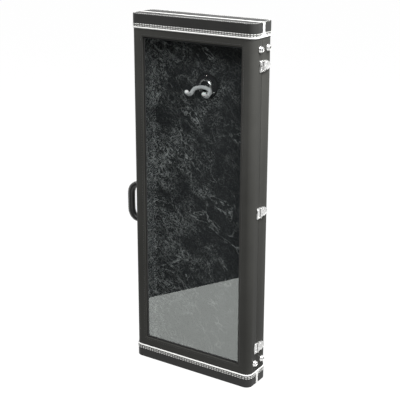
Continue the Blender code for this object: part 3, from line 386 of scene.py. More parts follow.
# Each finish: the frame's slot that it stands for, and how it is made from the case's colours
FINISHES = {
    "vinyl": ("vinyl_board", lambda use: grained("pebbled_vinyl", use.vinyl, 0.50, 0.0013, 0.00012, 0.06)),
    "leatherette": ("leatherette", lambda use: grained(
        "cap_leatherette", use.leatherette, 0.46, 0.0008, 0.00009)),
    "tape": ("leatherette", lambda use: grained(
        "seam_tape", scaled(use.leatherette, 4.2), 0.5, 0.0008, 0.00008)),
    # The welt's near-black colour is painted shade of the lid's parting gap
    "welt": ("leatherette", lambda use: grained(
        "welt_painted_gap_shade", scaled(use.leatherette, 0.25), 0.6, 0.0008, 0.00006)),
    "handle": ("handle_plastic", lambda use: grained(
        "handle_leather", scaled(use.leatherette, 0.8), 0.34, 0.0007, 0.00008, 0.55)),
    "piping": ("white_cord", lambda use: layered(
        "white_cord", use.piping, 0.42, {"noise": (900, 3), "bump": (0.25, 0.00008)},
        {"noise": (60, 6, 0.65), "shades": (0.90, 1.0), "gloss": (0.36, 0.52)}, Coat_Weight=0.15)),
    "thread": ("white_cord", lambda use: twisted("seam_thread", use.thread)),
    "dark_thread": ("leatherette", lambda use: twisted("dark_thread", (0.012, 0.012, 0.012))),
    "velvet": ("velvet", lambda use: crushed_velvet(use.velvet, use.velvet_light)),
    "chrome": ("chrome", lambda use: layered(
        "pressed_chrome", use.chrome, 0.2,
        {"noise": (260, 6, 0.65), "shades": (0.80, 1.08), "gloss": (0.12, 0.34)},
        {"noise": (1500, 2), "stretch": (1, 1, 0.05), "bump": (0.08, 0.00005)},
        {"noise": (90, 2), "bump": (0.25, 0.0006)}, metallic=1.0)),
    "stamped": ("chrome", lambda use: layered(
        "stamped_steel", use.chrome, 0.44,
        {"noise": (260, 3, 0.6), "shades": (0.30, 1.10), "gloss": (0.34, 0.55), "bump": (0.35, 0.0010)},
        metallic=0.8)),
    "polished": ("chrome", lambda use: layered(
        "polished_nickel", scaled(use.chrome, 0.85), 0.1, {"noise": (60, 3), "gloss": (0.24, 0.31)},
        {"noise": (900, 2), "stretch": (1, 0.05, 1), "bump": (0.04, 0.00004)}, metallic=1.0)),
    # Dark steel: the lock plug, and the foot screws, where it also paints the shade of each foot's recess
    "dark_steel": ("chrome", lambda use: layered(
        "dark_steel", (0.02, 0.02, 0.02), 0.5,
        {"noise": (700, 4), "shades": (0.6, 1.75), "gloss": (0.42, 0.60)}, metallic=0.6)),
    "rubber": ("black_rubber", lambda use: layered(
        "gasket_rubber", (0.014, 0.014, 0.014), 0.38,
        {"noise": (240, 5), "gloss": (0.30, 0.46), "bump": (0.2, 0.00006)})),
    "board": ("retainer_wood", lambda use: layered(
        "painted_board", (0.012, 0.012, 0.012), 0.65,
        {"noise": (500, 5), "stretch": (1, 1, 0.1), "shades": (0.75, 1.5), "bump": (0.3, 0.0001)})),
    "acrylic": ("acrylic", lambda use: clear_sheet()),
    "foam": ("grey_foam", lambda use: layered(
        "grey_foam", use.foam, 0.85, {"cells": (2400,), "shades": (0.88, 1.06), "bump": (0.5, 0.0001)},
        Sheen_Weight=0.2)),
    "tip": ("pale_plastic", lambda use: layered(
        "pale_tip", use.tips, 0.26, {"noise": (150, 4), "shades": (0.9, 1.06), "bump": (0.1, 0.0001)},
        Coat_Weight=0.8, Subsurface_Weight=0.05)),
    "flange": ("flange_plastic", lambda use: layered(
        "flange_plastic", (0.036, 0.037, 0.039), 0.24,
        {"noise": (1300, 3), "gloss": (0.18, 0.30), "bump": (0.25, 0.00005)})),
}
made_finishes = {}


def use_finish(key):
    """Return a finish's material, made once."""
    if key not in made_finishes:
        made_finishes[key] = FINISHES[key][1](colours())
    return made_finishes[key]


# Pieces

def shade(mesh, sharp):
    """Shade a mesh smooth, with sharp edges past an angle in degrees."""
    mesh.shade_smooth()
    mesh.set_sharp_from_angle(angle=math.radians(sharp))


def mesh_of(bm, name, sharp=38):
    """Return a shaded mesh of a bmesh with its faces pointing out."""
    bmesh.ops.recalc_face_normals(bm, faces=bm.faces)
    mesh = bpy.data.meshes.new(name)
    bm.to_mesh(mesh)
    bm.free()
    shade(mesh, sharp)
    return mesh


def add_piece(name, shape, key, body, *nodes, sharp=38):
    """Add a mesh or bmesh as a piece in a finish, carried by a body, in place of the nodes named."""
    mesh = mesh_of(shape, name, sharp) if isinstance(shape, bmesh.types.BMesh) else shape
    piece = bpy.data.objects.new(name, mesh)
    bpy.context.scene.collection.objects.link(piece)
    mesh.materials.clear()
    mesh.materials.append(use_finish(key))
    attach(piece, body)
    if nodes:
        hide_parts(*nodes)
    return piece


def dress_node(node, key):
    """Give a carried-over node its finish."""
    mesh = frame["nodes"][node].data
    mesh.materials.clear()
    mesh.materials.append(use_finish(key))


def helper(name, mesh):
    """Return a hidden object to cut with or to shape."""
    made = bpy.data.objects.new(name, mesh)
    made.hide_render = True
    bpy.context.scene.collection.objects.link(made)
    return made


def settled(shape, name, sharp=38):
    """Return an object's mesh with its modifiers applied, and remove it and what cuts it."""
    bpy.context.view_layer.update()
    graph = bpy.context.evaluated_depsgraph_get()
    mesh = bpy.data.meshes.new_from_object(shape.evaluated_get(graph))
    mesh.name = name
    cutters = [step.object for step in shape.modifiers if step.type == "BOOLEAN"]
    for done in [shape, *cutters]:
        bpy.data.objects.remove(done, do_unlink=True)
    shade(mesh, sharp)
    return mesh


def thicken(shape, thickness):
    """Give a sheet its thickness, behind its faces."""
    step = shape.modifiers.new("wall", "SOLIDIFY")
    step.thickness = thickness
    step.offset = -1
    step.use_even_offset = True


def soften(shape, width, steps=3):
    """Round a shape's sharp edges."""
    step = shape.modifiers.new("round", "BEVEL")
    step.width = width
    step.segments = steps
    step.limit_method = "ANGLE"
    step.angle_limit = math.radians(50)
    step.use_clamp_overlap = True
    shape.modifiers.new("even shading", "WEIGHTED_NORMAL").keep_sharp = True


def cut_away(shape, mesh):
    """Cut a mesh's volume out of a shape."""
    step = shape.modifiers.new("cut", "BOOLEAN")
    step.operation = "DIFFERENCE"
    step.object = helper("cut", mesh)


def add_loft(bm, rings, around=True, capped=True, looped=False):
    """Skin over rings; around closes each ring, looped joins the last to the first."""
    rows = [[bm.verts.new(point) for point in ring] for ring in rings]
    pairs = list(zip(rows, rows[1:]))
    if looped:
        pairs.append((rows[-1], rows[0]))
    for first, second in pairs:
        count = len(first)
        for index in range(count if around else count - 1):
            after = (index + 1) % count
            bm.faces.new((first[index], first[after], second[after], second[index]))
    if capped and not looped:
        bm.faces.new(rows[0][::-1])
        bm.faces.new(rows[-1])


def loft(rings, **settings):
    """Return a bmesh skinned over rings."""
    bm = bmesh.new()
    add_loft(bm, rings, **settings)
    return bm


def circle(steps, start=0.0, turn=360.0):
    """Return unit vectors round an arc; a full turn doesn't repeat its first point."""
    last = steps if turn % 360 == 0 else steps - 1
    angles = [math.radians(start + turn * index / last) for index in range(steps)]
    return [(math.cos(angle), math.sin(angle)) for angle in angles]


def tube_rings(path, radii, sides=12):
    """Return rings round a path, carried along it without twist; radii is one radius or one a point."""
    path = [Vector(point) for point in path]
    if isinstance(radii, float):
        radii = [radii] * len(path)
    leads = [(path[min(index + 1, len(path) - 1)] - path[max(index - 1, 0)]).normalized()
             for index in range(len(path))]
    side = leads[0].orthogonal().normalized()
    rings = []
    for point, lead, radius in zip(path, leads, radii):
        side = (side - lead * side.dot(lead)).normalized()
        up = lead.cross(side)
        rings.append([point + (side * c + up * s) * radius for c, s in circle(sides)])
    return rings


def turned_rings(profile, centre, axis, steps=40):
    """Return rings of a turned shape: profile gives radius and height along the axis from the centre."""
    axis = Vector(axis).normalized()
    side = axis.orthogonal().normalized()
    up = axis.cross(side)
    return [[Vector(centre) + axis * height + (side * c + up * s) * max(radius, 0.00001)
             for c, s in circle(steps)] for radius, height in profile]


def smooth_path(points, each=6):
    """Return a smooth curve through points, with some steps between each two."""
    points = [Vector(point) for point in points]
    ends = [points[0] * 2 - points[1], *points, points[-1] * 2 - points[-2]]
    path = []
    for a, b, c, d in zip(ends, ends[1:], ends[2:], ends[3:]):
        for step in range(each):
            t = step / each
            path.append(0.5 * ((2 * b) + (c - a) * t + (2 * a - 5 * b + 4 * c - d) * t * t
                               + (3 * b - a - 3 * c + d) * t * t * t))
    return [*path, points[-1]]


def rounded_path(corners, bend, first=()):
    """Return a path through corners, each turned on a curve of nine points that starts a bend before it."""
    path = [corners[0], *first]
    for before, corner, after in zip(corners, corners[1:], corners[2:]):
        start = corner + (before - corner).normalized() * bend
        last = corner + (after - corner).normalized() * bend
        for step in range(9):
            t = step / 8
            path.append(start.lerp(corner, t).lerp(corner.lerp(last, t), t))
    return path


def mirrored(line):
    """Return a line of places and directions for the other side, in reverse order."""
    return [(place * FLIP, out * FLIP) for place, out in reversed(line)]


def half_line(half, grow=0.0, open_y=None, steps=14):
    """Return places and outward directions round a half, from its right parting edge to its left."""
    closed, away = (BACK if half == "base" else FRONT), HALVES[half]
    if open_y is None:
        open_y = PARTING + away * GAP
    corner_y = closed - away * EDGE_RADIUS
    right = [(Vector((SIDE, open_y, 0)), Vector((1, 0, 0)))]
    for index in range(steps + 1):
        angle = math.radians(90 * index / steps)
        out = Vector((math.cos(angle), away * math.sin(angle), 0))
        right.append((Vector((SIDE - EDGE_RADIUS, corner_y, 0)) + out * EDGE_RADIUS, out))
    return [(place + out * grow, out) for place, out in right + mirrored(right)]


def raised(line, height):
    """Return the places of a line, lifted to a height."""
    return [place + Vector((0, 0, height)) for place, _ in line]


def spaced(line, pitch, margin, height=0.0):
    """Return stations at an even pitch along a line of places and directions, clear of its ends."""
    lengths = [0.0]
    for (first, _), (second, _) in zip(line, line[1:]):
        lengths.append(lengths[-1] + (second - first).length)
    count = max(1, round((lengths[-1] - 2 * margin) / pitch))
    stations = []
    for index in range(count):
        goal = margin + (lengths[-1] - 2 * margin) * (index + 0.5) / count
        span = next(i for i in range(len(line) - 1) if lengths[i + 1] >= goal)
        share = (goal - lengths[span]) / (lengths[span + 1] - lengths[span])
        place = line[span][0].lerp(line[span + 1][0], share) + Vector((0, 0, height))
        along = (line[span + 1][0] - line[span][0]).normalized()
        out = line[span][1].lerp(line[span + 1][1], share).normalized()
        stations.append((place, along, out))
    return stations


# A stitch along its length: share of the length, lift and width as shares of the thread
STITCH_SHARES = ((-0.50, -0.55, 0.55), (-0.42, 0.10, 0.9), (-0.2, 0.36, 1.0), (0.2, 0.36, 1.0),
                 (0.42, 0.10, 0.9), (0.50, -0.55, 0.55))


def add_stitches(bm, stations, length, thickness):
    """Add one arched stitch of thread at each station, its ends sunk into the skin."""
    for place, along, out in stations:
        side = along.cross(out)
        rings = []
        for share, lift, width in STITCH_SHARES:
            middle = place + along * length * share + out * thickness * lift
            rings.append([middle + (side * c + out * s) * thickness * width / 2 for c, s in circle(7)])
        add_loft(bm, rings)


def add_rivets(bm, places, out, radius, height):
    """Add a low domed rivet at each place."""
    profile = [(radius, 0), (radius, height * 0.25)]
    profile += [(radius * math.cos(a), height * (0.25 + 0.75 * math.sin(a))) for a in (0.4, 0.8, 1.2, 1.5)]
    for place in places:
        add_loft(bm, turned_rings(profile, place, out, 20))


# Covering

WINDOW = (GASKET_LOW.x - GAP, GASKET_LOW.z - GAP, GASKET_HIGH.x + GAP, GASKET_HIGH.z + GAP)


class DISPLAYCASE_OT_shells(bpy.types.Operator):
    """Cover both boards in pebbled vinyl, turned into the window and the parting edges"""

    bl_idname = "display_case.shells"
    bl_label = "Covered shells"

    def execute(self, context):
        for half in HALVES:
            shell = self.tray(half)
            if half == "lid":
                cut_away(shell, self.window_block())
                plug_low, plug_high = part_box("lock_plug")
                middle = (plug_low + plug_high) / 2
                radius = plug_high.y - middle.y + GAP
                start = (plug_low.x - GAP, middle.y, middle.z)
                bore = turned_rings(((radius, 0), (radius, 3 * WALL)), start, (1, 0, 0), 24)
                cut_away(shell, mesh_of(loft(bore), "lock_cut"))
            soften(shell, sizes().edge_round)
            name = half + "_vinyl"
            add_piece(name, settled(shell, name), "vinyl", half, half + "_shell")
        return {"FINISHED"}

    def tray(self, half):
        """Return a half's covered board: a rounded tray, open at the parting line."""
        outline = half_line(half)
        walls = loft([raised(outline, height) for height in (LOW, HIGH)], around=False)
        mesh = mesh_of(walls, half + "_shape")
        middle = Vector((0, (FRONT if half == "lid" else BACK) * 0.5, HEIGHT / 2))
        for face in mesh.polygons:
            if (face.center - middle).dot(face.normal) < 0:
                face.flip()
        mesh.update()
        shell = helper(half + "_shape", mesh)
        thicken(shell, WALL)
        return shell

    def window_block(self):
        """Return a block the size of the window, its upright corners rounded."""
        left, low, right, high = WINDOW
        near, far = Vector((left, FRONT - WALL, low)), Vector((right, FRONT + 2 * WALL, high))
        bm = bmesh.new()
        bmesh.ops.create_cube(bm, size=1)
        bmesh.ops.scale(bm, vec=far - near, verts=bm.verts)
        bmesh.ops.translate(bm, vec=(near + far) / 2, verts=bm.verts)
        edges = [edge for edge in bm.edges
                 if abs((edge.verts[1].co - edge.verts[0].co).normalized().y) > 0.99]
        bmesh.ops.bevel(bm, geom=edges, offset=WINDOW_CORNER, segments=6, affect="EDGES", profile=0.5)
        return mesh_of(bm, "window_cut")


class DISPLAYCASE_OT_caps(bpy.types.Operator):
    """Add the leatherette caps with their rounded ends"""

    bl_idname = "display_case.caps"
    bl_label = "End caps"

    def execute(self, context):
        for half in HALVES:
            for end, toward in ENDS.items():
                name = f"{half}_cap_{end}"
                cap = self.cap(half, end, toward, name)
                add_piece(f"{half}_leatherette_{end}", cap, "leatherette", half, name)
        return {"FINISHED"}

    def cap(self, half, end, toward, name):
        """Return a cap's skin: its wall, its rounded edge and its end panel."""
        radius, eased = sizes().cap_round, 0.0005
        edge, limit = (HEIGHT - CAP_HEIGHT, HEIGHT) if end == "top" else (CAP_HEIGHT, 0.0)
        levels = [(CAP_PROUD, edge)]
        for c, s in circle(6, 0, 90):
            levels.append((CAP_PROUD - radius * (1 - c), limit - toward * radius * (1 - s)))
        rings = [raised(half_line(half, grow, CAP_OPEN_Y[half]), height) for grow, height in levels]
        bm = loft(rings, around=False, capped=False)
        bm.verts.ensure_lookup_table()
        bm.faces.new(bm.verts[-len(rings[0]):])
        cap = helper("cap_shape", mesh_of(bm, "cap_shape", 180))
        flat = [face for face in cap.data.polygons if abs(face.normal.z) > 0.99]
        if max(flat, key=lambda face: face.area).normal.z * toward < 0:
            cap.data.flip_normals()
        thicken(cap, sizes().cap_thickness)
        soften(cap, eased, 2)
        return settled(cap, name)


# A band across its width: share of the width, rise as a share of its thickness
CROWN_SHARES = ((0.0, -1.0), (0.0, -0.35), (0.06, -0.08), (0.2, 0.0), (0.8, 0.0), (0.94, -0.08),
                (1.0, -0.35), (1.0, -1.0))


class DISPLAYCASE_OT_piping(bpy.types.Operator):
    """Add the white piping along each cap and the white bands beside the parting line"""

    bl_idname = "display_case.piping"
    bl_label = "Piping and bands"

    def execute(self, context):
        radius, welt_width, welt_lift = sizes().piping_radius, 0.0014, 0.0002
        for half in HALVES:
            for end, height in PIPING_Z.items():
                rings = []
                for place, out in half_line(half, GAP):
                    centre = place + Vector((0, 0, height))
                    rings.append([centre + out * (radius * c) + Vector((0, 0, radius * s))
                                  for c, s in circle(11, -90, 180)])
                add_piece(f"{half}_cord_{end}", loft(rings), "piping", half, f"{half}_piping_{end}")
        for end in ENDS:
            node = f"base_edge_strip_{end}"
            low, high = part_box(node)
            add_piece(f"base_band_{end}", self.band(end, low, high), "piping", "base", node)
            # A welt over the lid's parting gap, near black as painted shade of the gap
            low.y, high.y = CAP_OPEN_Y["lid"] - welt_width, PARTING - GAP
            add_piece(f"lid_welt_painted_gap_shade_{end}", self.band(end, low, high, welt_lift), "welt", "lid")
        for half, away in HALVES.items():
            bm = bmesh.new()
            for side in SIDES:
                for end, toward in ENDS.items():
                    self.add_flare(bm, side, away, PIPING_Z[end], toward)
            add_piece(half + "_band_flares", bm, "piping", half)
        return {"FINISHED"}

    def band(self, end, low, high, lift=0.0):
        """Return a crowned band over an end of the case, from one side to the other, lifted off the caps."""
        toward = ENDS[end]
        edge, limit = (low.z, high.z) if end == "top" else (high.z, low.z)
        radius, thickness = sizes().cap_round, sizes().cap_thickness
        line = [(Vector((high.x, 0, edge)), Vector((1, 0, 0)))]
        for c, s in circle(6, 0, 90):
            out = Vector((c, 0, toward * s))
            line.append((Vector((high.x - radius, 0, limit - toward * radius)) + out * radius, out))
        rings = []
        for place, out in line + mirrored(line):
            rings.append([])
            for across, up in CROWN_SHARES:
                level = Vector((0, low.y + (high.y - low.y) * across, 0))
                rings[-1].append(place + level + out * (thickness * up + lift))
        return loft(rings)

    def add_flare(self, bm, side, away, height, toward):
        """Add the small leaf where the piping runs up into the band."""
        start = PARTING + away * GAP if away < 0 else PARTING + sizes().band_width
        clear, thickness, taper, tip = 0.0001, 0.0007, 300, 0.018
        near = side * (SIDE + CAP_PROUD + clear)
        leaf = ((0.0, -0.001), (0.0095, -0.001), (0.0055, 0.004), (0.0025, 0.010))
        rings = []
        for lift in (0.0, thickness):
            x, shrink = near + side * lift, 1.0 - lift * taper
            rings.append([(x, start + away * y * shrink, height + toward * z) for y, z in leaf])
            rings[-1].append((x, start, height + toward * tip * shrink))
        add_loft(bm, rings)


# The seam tape across its width: share of the width, rise as a share of its thickness
TAPE_SHARES = ((0.0, -0.5), (0.0, 0.5), (0.06, 1.0), (0.94, 1.0), (1.0, 0.5), (1.0, -0.5))


class DISPLAYCASE_OT_stitching(bpy.types.Operator):
    """Sew the caps' seams, the end panels and the window's edge"""

    bl_idname = "display_case.stitching"
    bl_label = "Stitching"

    def execute(self, context):
        size = sizes()
        for half in HALVES:
            add_piece(half + "_seam_thread", self.seam_thread(half, size), "thread", half, sharp=70)
            for end in ENDS:
                add_piece(f"{half}_seam_tape_{end}", self.tape(half, end), "tape", half)
            add_piece(half + "_end_thread", self.end_thread(half, size), "thread", half, sharp=70)
            add_piece(half + "_dark_thread", self.board_thread(half, size), "dark_thread", half, sharp=70)
        return {"FINISHED"}

    def seam_thread(self, half, size):
        """Return the rows of stitches round a half's caps, along the edges of the seam tape."""
        line = half_line(half, CAP_PROUD, CAP_OPEN_Y[half], 10)
        bm = bmesh.new()
        for end, toward in ENDS.items():
            for row in range(size.stitch_rows):
                rise = TAPE_START + TAPE_MARGIN + (TAPE_WIDTH - 2 * TAPE_MARGIN) * row
                stations = spaced(line, size.stitch_pitch, STITCH_MARGIN, PIPING_Z[end] + toward * rise)
                add_stitches(bm, stations, size.stitch_length, size.thread)
        return bm

    def end_thread(self, half, size):
        """Return the stitches along the edges of a half's end panels."""
        inwards, pitch_share, length_share, sunk_share = 0.0028, 0.75, 0.8, 0.5
        bm = bmesh.new()
        for end, toward in ENDS.items():
            height = (HEIGHT if end == "top" else 0.0) - toward * size.thread * sunk_share
            edge = half_line(half, -inwards, CAP_OPEN_Y[half], 10)
            line = [(place, Vector((0, 0, toward))) for place, _ in edge]
            stations = spaced(line, size.stitch_pitch * pitch_share, STITCH_MARGIN, height)
            add_stitches(bm, stations, size.stitch_length * length_share, size.thread)
        return bm

    def board_thread(self, half, size):
        """Return the dark stitches beside a half's piping and, on the lid, round the window."""
        beside, margin, pitch_share, length_share, thread_share = 0.0048, 0.004, 0.8, 0.7, 0.7
        window_out, window_pitch, window_stitch = 0.006, 0.008, 0.0048
        thread = size.thread * thread_share
        bm = bmesh.new()
        for end, toward in ENDS.items():
            height = PIPING_Z[end] - toward * beside
            stations = spaced(half_line(half), size.stitch_pitch * pitch_share, margin, height)
            add_stitches(bm, stations, size.stitch_length * length_share, thread)
        if half == "lid":
            stations = spaced(window_line(window_out, FRONT), window_pitch, 0.0)
            add_stitches(bm, stations, window_stitch, thread)
        return bm

    def tape(self, half, end):
        """Return the seam tape that the stitch rows hold down beside the piping."""
        thickness = 0.0004
        rings = []
        for across, up in TAPE_SHARES:
            line = half_line(half, CAP_PROUD + thickness * up, CAP_OPEN_Y[half])
            rings.append(raised(line, PIPING_Z[end] + ENDS[end] * (TAPE_START + TAPE_WIDTH * across)))
        return loft([list(ring) for ring in zip(*rings)])


# Window

def window_line(out, depth, steps=6):
    """Return a closed line round the window, moved outwards, facing the front."""
    left, low, right, high = WINDOW
    radius = WINDOW_CORNER + max(out, 0.0)
    corners = ((right + out, high + out, 90), (right + out, low - out, 0), (left - out, low - out, -90),
               (left - out, high + out, -180))
    line = []
    for x, z, start in corners:
        centre = Vector((x - math.copysign(radius, x), depth, z + (radius if z < HEIGHT / 2 else -radius)))
        for c, s in circle(steps, start, -90):
            line.append((centre + Vector((c, 0, s)) * radius, Vector((0, -1, 0))))
    return [*line, line[0]]


class DISPLAYCASE_OT_window(bpy.types.Operator):
    """Add the gasket's bead and finish the pane and the frame that holds it"""

    bl_idname = "display_case.window"
    bl_label = "Window"

    def execute(self, context):
        bead_shares = ((0.0, 0.0), (0.0, 0.8), (0.15, 1.0), (0.45, 1.0), (0.75, 0.8), (0.95, 0.4), (1.0, 0.0))
        width, depth = 0.0045, GASKET_HIGH.y - GASKET_LOW.y
        rings = []
        for across, up in bead_shares:
            line = window_line(-GAP - width * across, GASKET_HIGH.y - depth * up)
            rings.append([place for place, _ in line[:-1]])
        add_piece("window_bead", loft(rings, looped=True), "rubber", "lid", "window_gasket")
        dress_node("window_pane", "acrylic")
        dress_node("window_retainer", "board")
        return {"FINISHED"}


# Lining

def crush(place):
    """Return how far the pile is pressed in at a place, from 0 to 1: soft swells with sharp creases."""
    swell = noise.fractal(place * 16, 1.0, 2.0, 3)
    drawn = Vector((place.x * 22 + place.z * 9, place.y * 22, place.z * 12 - place.x * 6))
    crease = 1 - abs(noise.fractal(drawn, 0.9, 2.1, 4))
    fine = noise.noise(place * 150) * 0.5
    depth = 0.42 + 0.28 * swell - 0.34 * max(crease - 0.72, 0) * 3 + 0.16 * fine
    return min(max(depth, 0.0), 1.0)


def steps_of(first, last, pitch):
    """Return even steps between two values, close to a pitch."""
    count = max(2, round(abs(last - first) / pitch))
    return [first + (last - first) * index / count for index in range(count + 1)]


class DISPLAYCASE_OT_lining(bpy.types.Operator):
    """Line the base and the lid's walls with crushed velvet over thin padding"""

    bl_idname = "display_case.lining"
    bl_label = "Velvet lining"

    def execute(self, context):
        pitch = sizes().velvet_grid
        side_in, end_in, back_in = 0.003, 0.0029, 0.0031
        face = LINING_HIGH.x - side_in
        low, high = LINING_LOW.z + end_in, LINING_HIGH.z - end_in
        for half in HALVES:
            node_low, node_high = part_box(half + "_lining")
            if half == "base":
                open_y, closed_y = node_low.y, LINING_HIGH.y - back_in
                line = half_line(half, face - SIDE, open_y)
                inner = [(place, out) for place, _, out in spaced(line, pitch, 0.0)]
                walls = [[line[0], *inner, line[-1]]]
            else:
                open_y, closed_y = node_high.y, node_low.y
                walls = [[(Vector((side * face, y, 0)), Vector((side, 0, 0)))
                          for y in steps_of(open_y, closed_y, pitch)] for side in SIDES]
            bm = bmesh.new()
            for wall in walls:
                self.add_pile(bm, [[(place + Vector((0, 0, height)), out) for place, out in wall]
                                   for height in steps_of(low, high, pitch)])
            for height, out in ((low, -1), (high, 1)):
                self.add_pile(bm, [[(Vector((x, y, height)), Vector((0, 0, out)))
                                    for x in steps_of(-face, face, pitch)]
                                   for y in steps_of(open_y, closed_y, pitch)])
            piece = add_piece(half + "_velvet", self.sheet(bm, half), "velvet", half, half + "_lining")
        return {"FINISHED"}

    def add_pile(self, bm, rows):
        """Add a surface of points and directions towards the wall, pressed in by the crush."""
        deep = sizes().velvet_crush
        rings = [[place + wall * deep * crush(place) for place, wall in row] for row in rows]
        add_loft(bm, rings, around=False, capped=False)

    def sheet(self, bm, half):
        """Return the pile as a padded sheet with its back towards the board."""
        thickness = 0.0006
        middle = Vector((0, (LINING_LOW.y if half == "base" else FRONT), HEIGHT / 2))
        for face in bm.faces:
            face.normal_update()
            toward = middle - face.calc_center_median()
            axis = max(range(3), key=lambda i: abs(face.normal[i]))
            if face.normal[axis] * toward[axis] < 0:
                face.normal_flip()
        mesh = bpy.data.meshes.new(half + "_pile")
        bm.to_mesh(mesh)
        bm.free()
        shape = helper(half + "_pile", mesh)
        thicken(shape, thickness)
        return settled(shape, half + "_velvet", 180)


# Latches

def inset_outline(points, distance):
    """Return a closed outline moved inwards, its corners kept by their mitres."""
    moved = []
    area = sum(a[0] * b[1] - b[0] * a[1] for a, b in zip(points, points[1:] + points[:1]))
    turn = 1 if area > 0 else -1
    for before, point, after in zip(points[-1:] + points[:-1], points, points[1:] + points[:1]):
        first = (Vector(point) - Vector(before)).normalized()
        second = (Vector(after) - Vector(point)).normalized()
        normal = Vector((-first.y - second.y, first.x + second.x)) * turn
        if normal.length < 1e-6:
            normal = Vector((-first.y, first.x)) * turn
        normal.normalize()
        mitre = max(normal.dot(Vector((-first.y, first.x)) * turn), 0.5)
        moved.append(tuple(Vector(point) + normal * distance / mitre))
    return moved


def pressed_rings(outline, height, levels):
    """Return an outline's rings across the side face, each moved in and out of it by a level."""
    return [[Vector((x, y, height + z)) for y, z in inset_outline(outline, inset)] for inset, x in levels]


def latch_edge(start, far, half, steps=15):
    """Return the round outline of a latch beyond a start line, from its lower side to its upper."""
    reach = far - LATCH_ROOT
    first = math.acos(((start - LATCH_ROOT) / reach) ** (LATCH_ROUNDNESS / 2))
    lower = []
    for index in range(steps + 1):
        angle = first * (1 - index / steps)
        lower.append((LATCH_ROOT + reach * math.cos(angle) ** (2 / LATCH_ROUNDNESS),
                      -half * math.sin(angle) ** (2 / LATCH_ROUNDNESS)))
    return lower + [(y, -z) for y, z in reversed(lower[:-1])]


